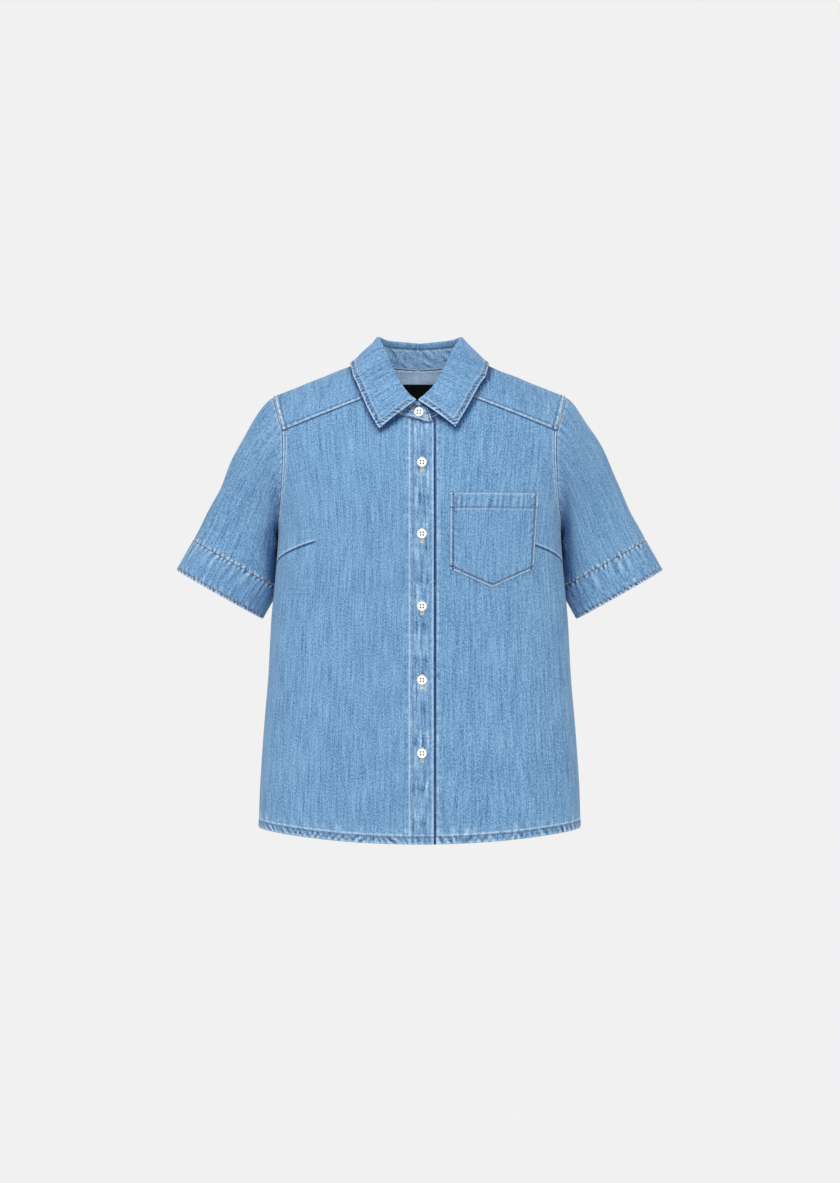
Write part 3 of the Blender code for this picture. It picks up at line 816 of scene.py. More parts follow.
# ---- Finishes
@dataclass(frozen=True)
class Denim:
    """Washed light-blue twill: mottled, streaked along its warp, worn pale on ridges."""

    name: str
    dark: Colour = (0.045, 0.141, 0.304)
    pale: Colour = (0.237, 0.432, 0.648)
    worn: Colour = (0.47, 0.64, 0.79)
    # colour of the deep mask: dye left dark in troughs and seams, and painted shade and shadow
    # where a piece marks it
    deep: Colour = (0.012, 0.052, 0.165)
    mottle: float = 2.1
    streak: float = 1.0
    twill_pitch: float = 0.00045

    def material(self) -> bpy.types.Material:
        """The finish as a material that reads the cloth's own lengths."""
        nodes = Nodes(self.name)
        u, v, piece = nodes.parts("grain")

        def uneven(across: float, along: float, shift: float, detail: float = 2.0) -> Socket:
            """Noise on the cloth's own lengths, at its rates across and along them."""
            place = nodes.vector(u * across, v * along, piece + shift)
            return nodes.noise(place, 1.0, detail)

        slubs, threads = uneven(620.0, 470.0, 3.0), uneven(560.0, 24.0, 0.0, 1.0)
        streaks, cloud = uneven(190.0, 7.0, 7.0), uneven(26.0, 15.0, 11.0)
        fine = (slubs - 0.5) * self.mottle + (threads - 0.5) * self.streak
        tone = (0.5 + fine + (streaks - 0.5) * 0.4 + (cloud - 0.5) * 0.3).clamped()
        cloth = nodes.mix(tone, self.dark, self.pale)
        patchy = 1.0 + fine * 0.7
        worn = (nodes.mask("worn") * patchy).clamped()
        deep = (nodes.mask("deep") * (2.0 - patchy)).clamped()
        cloth = nodes.mix(worn, cloth, self.worn)
        cloth = nodes.mix(deep, cloth, self.deep)
        turn = TURN / self.twill_pitch
        twill = (u * (0.55 * turn) + v * (0.84 * turn) + slubs * 5.0).sine()
        height = twill * 0.25 + (threads - 0.5) * 1.1 + (slubs - 0.5) * 1.4
        return nodes.surface(
            Base_Color=cloth,
            Roughness=0.8 + tone * 0.12,
            Specular_IOR_Level=0.18,
            Sheen_Weight=0.1,
            Sheen_Roughness=0.55,
            Normal=nodes.bump(height, 0.00012),
        )


@dataclass(frozen=True)
class Thread:
    """Sewing thread, twisted, a little uneven in colour along a seam."""

    name: str
    colour: Colour
    shade: Colour
    roughness: float = 0.7

    def material(self) -> bpy.types.Material:
        """The finish as a material."""
        nodes = Nodes(self.name)
        place = nodes.node("ShaderNodeTexCoord", {}, output="Object")
        patch = nodes.noise(place, 160.0).eased(0.35, 0.65)
        twist = nodes.noise(place, 2600.0)
        return nodes.surface(
            Base_Color=nodes.mix(patch, self.colour, self.shade),
            Roughness=self.roughness + (twist - 0.5) * 0.2,
            Specular_IOR_Level=0.3,
            Sheen_Weight=0.2,
            Normal=nodes.bump(twist, 0.0001),
        )


@dataclass(frozen=True)
class Tape:
    """Closely woven satin tape of one dark colour."""

    name: str
    colour: Colour = (0.003, 0.003, 0.003)
    sheen: Colour = (0.008, 0.008, 0.009)
    pick: float = 0.0004

    def material(self) -> bpy.types.Material:
        """The finish as a material."""
        nodes = Nodes(self.name)
        u, v, _ = nodes.parts("grain")
        ribs = (v * (TURN / self.pick)).sine() * 0.5 + 0.5
        floats = nodes.noise(nodes.vector(u * 300.0, v * 2400.0, 0.0), 1.0)
        return nodes.surface(
            Base_Color=nodes.mix(floats.eased(0.3, 0.7), self.colour, self.sheen),
            Roughness=0.42 + floats * 0.2,
            Specular_IOR_Level=0.05,
            Normal=nodes.bump(ribs * 0.5 + floats * 0.5, 0.00006),
        )


@dataclass(frozen=True)
class Shell:
    """White moulded button material, softly polished, with a faint cloud in it, and shade
    painted into its hole pits.
    """

    name: str
    colour: Colour = (0.9, 0.88, 0.85)
    cloud: Colour = (0.8, 0.77, 0.73)
    # painted shade in the button's four holes, which are shallow pits
    hole: Colour = (0.05, 0.03, 0.025)

    def material(self) -> bpy.types.Material:
        """The finish as a material."""
        nodes = Nodes(self.name)
        place = nodes.node("ShaderNodeTexCoord", {}, output="Object")
        cloud = nodes.noise(place, 420.0, 3.0).eased(0.4, 0.75)
        colour = nodes.mix(cloud * 0.5, self.colour, self.cloud)
        # the pits darkened by the deep mask: painted shade in the holes
        colour = nodes.mix(nodes.mask("deep"), colour, self.hole)
        scuff = nodes.noise(place, 3200.0, 3.0)
        return nodes.surface(
            Base_Color=colour,
            Roughness=0.24 + scuff * 0.16,
            Specular_IOR_Level=0.5,
            Coat_Weight=0.25,
            Coat_Roughness=0.2,
            Normal=nodes.bump(scuff, 0.00003),
        )


@dataclass(frozen=True)
class Studio:
    """Pale paper that glows evenly, so that it has no horizon."""

    name: str = "studio_paper"
    colour: Colour = (0.88, 0.88, 0.88)

    def material(self) -> bpy.types.Material:
        """The finish as a material."""
        nodes = Nodes(self.name)
        return nodes.surface(
            Base_Color=(0.0, 0.0, 0.0),
            Roughness=1.0,
            Specular_IOR_Level=0.0,
            Emission_Color=self.colour,
            Emission_Strength=1.0,
        )


class Finish(Enum):
    """The finishes of the shirt, each made once."""

    DENIM = Denim("washed_denim")
    # the paler wrong side of the denim, brightened further as painted light on the shaded
    # insides
    DENIM_BACK_PAINTED_LIGHT = Denim(
        "washed_denim_wrong_side_painted_light",
        dark=(0.42, 0.59, 0.8),
        pale=(0.7, 0.84, 0.97),
        worn=(0.6, 0.7, 0.8),
        deep=(0.045, 0.11, 0.24),
    )
    # a paler copy of the denim for the stand's inner face: painted light on the shaded inside of
    # the neck
    DENIM_NECK_PAINTED_LIGHT = Denim(
        "washed_denim_neck_side_painted_light", dark=(0.075, 0.205, 0.4), pale=(0.35, 0.58, 0.8)
    )
    ECRU_THREAD = Thread("ecru_thread", (0.66, 0.6, 0.46), (0.42, 0.42, 0.38))
    TONAL_THREAD = Thread("tonal_thread", (0.34, 0.42, 0.5), (0.22, 0.3, 0.4))
    COPPER_THREAD = Thread("copper_thread", (0.56, 0.27, 0.1), (0.42, 0.2, 0.09))
    BUTTONHOLE_THREAD = Thread("buttonhole_thread", (0.82, 0.76, 0.65), (0.66, 0.58, 0.46))
    BLACK_THREAD = Thread("black_thread", (0.01, 0.01, 0.012), (0.018, 0.018, 0.02))
    WHITE_THREAD = Thread("white_thread", (0.78, 0.74, 0.68), (0.66, 0.6, 0.54))
    LABEL = Tape("black_tape")
    BUTTON = Shell("white_button")
    PAPER = Studio()

    def made(self) -> bpy.types.Material:
        """The finish as a material, made when it is first asked for."""
        found = bpy.data.materials.get(self.value.name)
        return found or self.value.material()


# ---- Meshes
def placed(name: str, data: bpy.types.ID) -> Piece:
    """Adds an object to the scene."""
    made = bpy.data.objects.new(name, data)
    bpy.context.scene.collection.objects.link(made)
    return made


def put(mesh: bpy.types.Mesh, finishes: Sequence[Finish]) -> Piece:
    """Adds a mesh to the scene as a piece that rides on the shirt.

    Args:
        mesh: Its mesh, named as the piece.
        finishes: Its material slots in order.

    Returns:
        The piece.
    """
    made = placed(mesh.name, mesh)
    for finish in finishes:
        mesh.materials.append(finish.made())
    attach(made, BODY)
    log.info("%s: %d faces", made.name, len(mesh.polygons))
    return made


def mesh_of(name: str, points: Array, faces: Array) -> bpy.types.Mesh:
    """A smooth mesh from points and faces of equal corner count."""
    mesh = bpy.data.meshes.new(name)
    mesh.vertices.add(len(points))
    mesh.vertices.foreach_set("co", points.astype(np.float32).ravel())
    count, corners = faces.shape
    mesh.loops.add(count * corners)
    mesh.loops.foreach_set("vertex_index", faces.astype(np.int32).ravel())
    mesh.polygons.add(count)
    mesh.polygons.foreach_set("loop_start", np.arange(0, count * corners, corners))
    mesh.update(calc_edges=True)
    mesh.validate()
    mesh.shade_smooth()
    return mesh


def write_mask(mesh: bpy.types.Mesh, name: str, values: Array) -> None:
    """Stores one number for each point of a mesh."""
    layer = mesh.attributes.new(name, "FLOAT", "POINT")
    layer.data.foreach_set("value", values.astype(np.float32).ravel())


def quads(rows: int, columns: int, closed: bool) -> Array:
    """Faces of a grid of points, counted row by row."""
    across = np.arange(columns if closed else columns - 1)
    row, column = np.meshgrid(np.arange(rows - 1), across, indexing="ij")
    following = (column + 1) % columns
    corners = [row * columns + column, row * columns + following]
    corners += [(row + 1) * columns + following, (row + 1) * columns + column]
    return np.stack(corners, axis=-1).reshape(-1, 4)


# How far along a stitch each of its rings is, its share of the radius, and its height.
STITCH_RINGS = ((0, 0.35, -0.5), (0.22, 1, 0.6), (0.78, 1, 0.6), (1, 0.35, -0.5))


@dataclass
class Sewing:
    """Collects stitches, and makes them as one piece for each sub-assembly and thread."""

    radius: float = 0.00024
    length: float = 0.0026
    gap: float = 0.0007
    sides: int = 5
    stitches: list[tuple[Array, ...]] = field(default_factory=list)

    def add(self, starts: Array, stops: Array, outs: Array, radius: float) -> None:
        """Adds stitches from their ends and outward directions."""
        self.stitches.append((starts, stops, outs, np.full(len(starts), radius)))

    def run(self, line: Array, lift: float = CLOTH / 2) -> None:
        """Adds a row of stitches along a line of points with their outward directions.

        Args:
            line: Points x 2 x 3.
            lift: Height of the cloth's face over the line.
        """
        points, outs = line[:, 0], line[:, 1]
        at = lengths_of(points)
        pitch = self.length + self.gap
        count = int(at[-1] / pitch)
        if count < 1:
            return
        spare = (at[-1] - count * pitch) / 2
        begin = spare + pitch * np.arange(count) + self.gap / 2
        out = unit(read_line(begin + self.length / 2, at, outs))
        first = read_line(begin, at, points) + out * lift
        last = read_line(begin + self.length, at, points) + out * lift
        self.add(first, last, out, self.radius)

    def piece(self, name: str, finish: Finish) -> Piece | None:
        """Makes all the stitches as one piece."""
        if not self.stitches:
            return None
        starts, stops, outs, radii = (joined(parts) for parts in zip(*self.stitches))
        along = unit(stops - starts)
        side = unit(np.cross(outs, along))
        outs = np.cross(along, side)
        turn = np.linspace(0, TURN, self.sides, endpoint=False)
        rings = []
        for place, width, height in STITCH_RINGS:
            middle = starts + (stops - starts) * place + outs * (radii * height)[:, None]
            spin = (
                np.cos(turn)[None, :, None] * side[:, None]
                + np.sin(turn)[None, :, None] * outs[:, None]
            )
            rings.append(middle[:, None] + spin * (radii * width)[:, None, None])
        points = np.stack(rings, axis=1)
        count, levels = points.shape[:2]
        one = quads(levels, self.sides, closed=True)
        offsets = np.arange(count) * levels * self.sides
        faces = (one[None] + offsets[:, None, None]).reshape(-1, 4)
        mesh = mesh_of(name, points.reshape(-1, 3), faces)
        return put(mesh, [finish])


# ---- Sewn pieces
class Side(Enum):
    """The wearer's side that a piece is on."""

    LEFT = 1
    RIGHT = -1
    MIDDLE = 0


class Hold(Enum):
    """How a sheet of cloth is held in the finished shirt."""

    DRAPED = "draped"
    HUNG = "hung"
    FOLDED = "folded"
    LAID = "laid"


@dataclass
class SewnPiece(ABC):
    """One cut piece of cloth: its grid, the relief of its seams, and its stitches."""

    node: str
    side: Side = Side.MIDDLE
    seed: int = 1
    cut: Cut = Cut()
    hold: Hold = Hold.HUNG
    rests_on: tuple[str, ...] = ("yoke",)
    slot: str = "denim"
    finish: Finish = Finish.DENIM
    inner: Finish = Finish.DENIM_BACK_PAINTED_LIGHT
    wall: float = CLOTH
    thread: Finish = Finish.TONAL_THREAD
    thread_radius: float = 0.00024
    sewing: Sewing = field(init=False, repr=False)
    # the line beside which the collar's shadow is painted, and how dark that painted shadow is
    collar_shadow_line: Array | None = None
    collar_shadow_strength: float = 1.0

    def __post_init__(self) -> None:
        """Threads the needle."""
        self.sewing = Sewing(self.thread_radius)

    @abstractmethod
    def grid(self) -> ClothGrid:
        """The piece as a grid on its form."""

    @abstractmethod
    def shape(self, grid: ClothGrid) -> None:
        """Adds the relief of the seams and the worn and deep places."""

    def sew(self, grid: ClothGrid) -> None:
        """Lays the stitches on the settled grid."""

    def dress(self, piece: Piece, grid: ClothGrid) -> None:
        """Args:
            piece: The shell of cloth; not used.
            grid: Its settled grid.
        """
        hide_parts(self.node)
        threads = self.sewing.piece(self.node + "_stitches", self.thread)
        width = float(grid.u[:, -1].max())
        length = float(grid.v[-1].max())
        list(self.rests_on)
        min(grid.area(), width * length)

    def make(self) -> Piece:
        """Builds, dresses and returns the piece."""
        grid = self.grid()
        grid.seed = self.seed
        self.shape(grid)
        # paints the collar's shadow beside its line
        if self.collar_shadow_line is not None:
            self.paint_collar_shadow(grid, self.collar_shadow_line)
        grid.settle()
        self.sew(grid)
        piece = self.shell(grid)
        self.dress(piece, grid)
        return piece

    def shell(self, grid: ClothGrid) -> Piece:
        """A thin shell through the settled grid, its two faces half a wall to each side."""
        sets = [grid.points, grid.worn, grid.deep, grid.grain_u, grid.grain_v]
        if grid.closed:
            sets = [values[:, :-1] for values in sets]
        points, worn, deep, grain_u, grain_v = sets
        faces = quads(*points.shape[:2], grid.closed)
        mesh = mesh_of(self.node, points.reshape(-1, 3), faces)
        write_mask(mesh, "worn", np.clip(worn, 0, 1))
        write_mask(mesh, "deep", np.clip(deep, 0, 1))
        layer = mesh.attributes.new("grain", "FLOAT_VECTOR", "POINT")
        lengths = stack(grain_u, grain_v, np.full(grain_u.shape, 3.7 * self.seed))
        layer.data.foreach_set("vector", lengths.astype(np.float32).ravel())
        piece = put(mesh, [self.finish, self.inner])
        cloth = piece.modifiers.new("cloth", "SOLIDIFY")
        cloth.thickness = self.wall
        cloth.offset = 0.0
        cloth.use_even_offset = False
        cloth.material_offset = 1
        return piece

    def paint_collar_shadow(self, grid: ClothGrid, line: Array) -> None:
        """Paints the collar's shadow into the cloth's colour beside a line, in front: painted
        shadow in the deep mask.
        """
        x, y, z = grid.xyz()
        near = np.full(x.shape, np.inf)
        for point_x, _, point_z in line:
            near = np.minimum(near, np.hypot(x - point_x, z - point_z))
        shade = bell(near, 0.005) + 1.8 * bell(near, 0.0024)
        grid.add(deep=self.collar_shadow_strength * shade * (y < 0))


@dataclass
class HemmedPanel(SewnPiece):
    """A panel of the body, with the narrow turned hem along its lower edge."""

    hem_width: float = 0.01
    hem_slant: float = 0.9
    low: Array = field(init=False, repr=False)  # places of its rows up to the underarm
    high: Array = field(init=False, repr=False)  # and from there to its upper edge
    bearing: Array = field(init=False, repr=False)
    z: Array = field(init=False, repr=False)

    def heights(self, lower: Array, upper: Array) -> Array:
        """Heights of the panel's rows between its hem and its upper edge."""
        middle = self.cut.underarm_z
        lower_rows = lower + (middle - lower) * self.low[:, None]
        return joined([lower_rows, middle + (upper - middle) * self.high[1:, None]])

    def upright(self, grid: ClothGrid) -> ClothGrid:
        """The grid with its warp upright all round the body."""
        grid.grain_u, grid.grain_v = self.cut.around(self.bearing), self.z
        return grid

    def shape_hem(self, grid: ClothGrid) -> None:
        """The hem: raised, roped by its row of stitches, worn on its ridges."""
        edge, width, slant = Edge.BOTTOM, self.hem_width, self.hem_slant
        grid.ridge(edge, width, 0.0005)
        grid.stitch_trough(edge, width * 0.9, 0.00025)
        grid.roll(edge, worn=0.45)
        grid.pucker(edge, width * 0.42, width * 0.5, 0.0086, 0.00046, slant, 3.2, 1.9)
        grid.pucker(edge, width * 1.6, 0.005, 0.0145, 0.00016, slant / 2, 2.6, 0.5)
        broken = 0.75 + 0.4 * Unevenness(self.seed + 5).along(grid.u, 0.009)
        grid.add(worn=0.85 * broken * bell(grid.v - width * 1.16, 0.001))
        grid.add(deep=0.22 * bell(grid.v - width * 0.55, 0.0034))
        grid.add(deep=0.42 * bell(grid.v - width * 0.9, 0.001))

    def sew(self, grid: ClothGrid) -> None:
        """The hem's row of stitches."""
        self.sewing.run(grid.line(Edge.BOTTOM, self.hem_width * 0.9, (0.001, 0.001)))


@dataclass
class FrontPanel(HemmedPanel):
    """A front panel, from the placket or the button band out to the side and the arm."""

    inner_x: float = 0.0215
    dart_tip: tuple[float, float] = (0.13, -0.2245)
    dart_foot_z: float = -0.2585
    dart_width: float = 0.0012

    @property
    def sides(self) -> tuple[Edge, Edge]:
        """The edge at the middle of the front, and the one at the side and the arm."""
        return ENDS if self.side is Side.LEFT else ENDS[::-1]

    def grid(self) -> ClothGrid:
        """The panel as a grid on the draped form."""
        cut, form = self.cut, self.cut.form
        self.low = shares(0.4, 0.0027, (0, 0.014, 0.0011), (0.345, 0.392, 0.0008))
        self.high = shares(0.131, 0.0026, (0.122, 0.131, 0.001))
        corner_x = cut.neck_corner_x
        outer_z = self.heights(cut.hem_z(cut.side_seam), cut.yoke_front_z - HALF_GAP)
        outer = cut.armhole_bearing(outer_z, cut.arm_front, cut.yoke_front_z)
        outer = outer - HALF_GAP / cut.girth_radius
        inner_z = self.heights(cut.hem_front_z, cut.neck_z(self.inner_x) - HALF_GAP)
        inner = form.bearing_at(self.inner_x, inner_z)
        corner = form.bearing_at(corner_x, cut.yoke_z(corner_x)) + 0 * outer
        near = shares(0.036, 0.0024, (0, 0.006, 0.001))
        far = shares(0.155, 0.0024, (0.085, 0.155, 0.0013))[1:]
        bearing = joined(
            [inner + (corner - inner) * near, corner + (outer - corner) * far], axis=1
        )
        top = np.full(bearing.shape[1], cut.yoke_front_z)
        for _ in range(8):
            top = cut.front_top_z(form.torso(bearing[-1], top)[:, 0])
        z = self.heights(cut.hem_z(bearing[0]), top - HALF_GAP)
        if self.side is Side.RIGHT:
            bearing, z = -bearing[:, ::-1], z[:, ::-1]
        self.bearing, self.z = bearing, z
        return self.upright(ClothGrid(cut.cloth(bearing, z)))

    def shape(self, grid: ClothGrid) -> None:
        """Hem, dart, and the seams at the yoke, the arm and the middle."""
        self.shape_hem(grid)
        self.shape_dart(grid)
        top, (inner, outer) = Edge.TOP, self.sides
        if self.side is Side.RIGHT:
            sunk = 0.0006 + 0.0004 * bell(grid.v, self.hem_width)
            grid.add(-sunk * bell(grid.inside(inner), 0.0022))
        under_yoke = grid.inside(top)
        beside_neck = np.abs(grid.points[..., 0]) < self.cut.neck_corner_x
        grid.add(-0.0005 * bell(under_yoke, 0.0016))
        # painted shadow along the upper edge, under the yoke's lapped edge, except beside the
        # neck
        grid.add(deep=2.5 * bell(under_yoke, 0.0015) * ~beside_neck)
        grid.pucker(top, 0.003, 0.005, 0.012, 0.00016, 0.2, 0.8, 0.8)
        armhole = self.z > self.cut.underarm_z
        distance = grid.inside(outer)
        grid.add(np.where(armhole, 0.0005, 0.0002) * bell(distance, 0.005))
        grid.add(worn=0.75 * bell(distance - 0.0012, 0.0011) * armhole)
        grid.add(deep=0.4 * bell(distance - 0.0031, 0.0011) * armhole)
        grid.add(worn=0.45 * bell(distance - 0.005, 0.001) * armhole)
        grid.pucker(outer, 0.002, 0.006, 0.01, 0.00022, 0.3, 0.8, 0.6)
        grid.add(worn=0.25 * bell(grid.inside(inner) - 0.0015, 0.0014))
        grid.pucker(inner, 0.001, 0.005, 0.013, 0.00018, 0.2)

    def shape_dart(self, grid: ClothGrid) -> None:
        """The bust dart: a sewn line from the side seam, soft beside it, with shade painted into
        its groove.
        """
        tip_x, tip_z = self.dart_tip
        tip = float(self.cut.form.bearing_at(tip_x, tip_z))
        around = np.abs(self.bearing)
        share = (around - tip) / (self.cut.side_seam - tip)
        line_z = tip_z + (self.dart_foot_z - tip_z) * share
        across = (self.z - line_z) * 0.92
        fade = ease(share / 0.1) * ease((1.02 - share) / 0.05)
        grid.add(-0.0008 * fade * bell(across, self.dart_width))
        grid.add(0.0001 * fade * bell(across - 0.003, 0.003))
        # painted shade in the dart's groove
        grid.add(deep=3.0 * fade * bell(across, self.dart_width))
        grid.add(worn=0.85 * fade * bell(across - 0.0024, 0.0008))


@dataclass
class BackPanel(HemmedPanel):
    """The back, in one piece from side seam to side seam."""

    def grid(self) -> ClothGrid:
        """The panel as a grid on the draped form."""
        cut = self.cut
        self.low = shares(0.4, 0.0028, (0, 0.014, 0.0011))
        self.high = shares(0.117, 0.0028, (0.11, 0.117, 0.0011))
        outer_z = self.heights(cut.hem_z(cut.side_seam), cut.yoke_back_z - HALF_GAP)
        outer = cut.armhole_bearing(outer_z, cut.arm_back, cut.yoke_back_z)
        outer = outer + HALF_GAP / cut.girth_radius
        across = shares(0.2, 0.0026, (0.189, 0.2, 0.0011))
        across = joined([-across[::-1], across[1:]])
        self.bearing = math.pi + (math.pi - outer) * across
        top = np.full(self.bearing.shape[1], cut.yoke_back_z - HALF_GAP)
        self.z = self.heights(cut.hem_z(self.bearing[0]), top)
        return self.upright(ClothGrid(cut.cloth(self.bearing, self.z)))

    def shape(self, grid: ClothGrid) -> None:
        """Hem, and the seams at the yoke, the arms and the sides."""
        self.shape_hem(grid)
        under_yoke = grid.inside(Edge.TOP)
        # the edge sunk under the yoke, with painted shadow along it
        grid.add(-0.0005 * bell(under_yoke, 0.0016), deep=0.75 * bell(under_yoke, 0.0012))
        grid.pucker(Edge.TOP, 0.003, 0.006, 0.013, 0.00018, 0.2, 0.8, 0.8)
        armhole = self.z > self.cut.underarm_z
        for edge in ENDS:
            grid.ridge(edge, 0.007, np.where(armhole, 0.0005, 0.0007), 0.002)
            grid.add(worn=0.45 * bell(grid.inside(edge) - 0.0012, 0.0012))
            grid.pucker(edge, 0.003, 0.006, 0.01, 0.00022, 0.3, 0.8, 0.6)
            grid.stitch_trough(edge, 0.006, 0.0002)

    def sew(self, grid: ClothGrid) -> None:
        """The hem's stitches, and a row beside each side seam and armhole."""
        super().sew(grid)
        for edge in ENDS:
            self.sewing.run(grid.line(edge, 0.006, (0.01, 0.001)))


@dataclass
class Yoke(SewnPiece):
    """The shoulder yoke: rows from the neck's edge out, columns from seam to seam."""

    seam_inset: float = 0.0046
    arm_inset: float = 0.006

    def grid(self) -> ClothGrid:
        """The yoke as a grid over the shoulders."""
        cut, form = self.cut, self.cut.form
        arm_x, arm_turn = cut.yoke_arm_edge(76)
        seam_share = np.linspace(1, 0, 52)[1:]
        seam_x = arm_x[-1] * seam_share
        seam_turn = form.turn_at(seam_x, cut.yoke_back_z + HALF_GAP)
        outer_x = joined([arm_x, seam_x])
        outer_turn = joined([arm_turn, seam_turn])
        sine = cut.neck_corner_x / cut.neck_half_width
        start = 180 - math.degrees(math.asin(sine))
        bearings = joined([np.linspace(start, 42, 76), np.linspace(42, 0, 52)[1:]])
        neck_x, neck_turn = cut.neck_edge(bearings)
        corner_z = cut.yoke_z(cut.neck_corner_x) + HALF_GAP
        neck_turn[0] = -form.turn_at(cut.neck_corner_x, corner_z)
        share = shares(0.125, 0.0024, (0.115, 0.125, 0.0011))[:, None]
        x = neck_x + (outer_x - neck_x) * share
        turn = neck_turn + (outer_turn - neck_turn) * share
        turn[:, 0] = -form.turn_at(x[:, 0], cut.yoke_z(x[:, 0]) + HALF_GAP)
        x = joined([x, -x[:, -2::-1]], axis=1)
        turn = joined([turn, turn[:, -2::-1]], axis=1)
        grid = ClothGrid(cut.over_shoulder(x, turn)[::-1])
        self.x, self.turn = x[::-1], turn[::-1]
        grid.grain_u = self.x
        grid.grain_v = -self.turn * form.rounding
        return grid

    def shape(self, grid: ClothGrid) -> None:
        """The lapped front seams, the armholes, the back seam and the neck."""
        behind = self.turn > self.cut.form.turn_at(0.12, -0.088)
        for edge in ENDS:
            grid.ridge(edge, self.seam_inset, 0.0007)
            grid.stitch_trough(edge, self.seam_inset, 0.00025)
            grid.add(deep=0.6 * bell(grid.inside(edge) - self.seam_inset, 0.001))
            grid.roll(edge, worn=0.95)
            grid.pucker(edge, 0.0025, 0.003, 0.009, 0.00022, 0.4, 1.6, 1.2)
        outer = grid.inside(Edge.BOTTOM)
        grid.ridge(Edge.BOTTOM, 0.006, 0.0005, 0.002)
        grid.add(worn=0.75 * bell(outer - 0.0026, 0.0016))
        grid.stitch_trough(Edge.BOTTOM, self.arm_inset, 0.0002)
        grid.add(deep=0.6 * bell(outer - self.arm_inset, 0.001))
        grid.add(deep=1.1 * bell(outer, 0.001))
        grid.pucker(Edge.BOTTOM, 0.003, 0.005, 0.01, 0.00022, 0.3)
        grid.pucker(Edge.TOP, 0.002, 0.005, 0.012, 0.00018, 0.2)
        soft = Unevenness(21).over(self.x, self.turn * 0.07, 0.055, 0.6)
        inside = grid.within(
            (Edge.BOTTOM, 0.03), (Edge.TOP, 0.02), (Edge.LEFT, 0.03), (Edge.RIGHT, 0.03)
        )
        grid.add(0.0007 * soft * inside)
        corner = bell(self.x - 0.166, 0.012) * bell(self.turn + 0.95, 0.3)
        bent = 0.01 * Unevenness(22).over(self.x, self.turn * 0.07, 0.02)
        folds = np.sin((self.x * 0.62 + self.turn * 0.052 + bent) * TURN / 0.0085)
        grid.add_relief(0.0003 * folds * corner * ~behind, 0.8, 1.0)

    def sew(self, grid: ClothGrid) -> None:
        """Rows beside the front seams, the armholes and the back seam."""
        for edge in ENDS:
            self.sewing.run(grid.line(edge, self.seam_inset, (0.002, 0.002)))
        self.sewing.run(grid.line(Edge.BOTTOM, self.arm_inset, (0.004, 0.004)))


# ---- Sleeves
class Start(NamedTuple):
    """How a sleeve leaves the armhole at a clock angle."""

    clock: float
    x: float
    y: float
    z: float
    pull: float
    reach: float


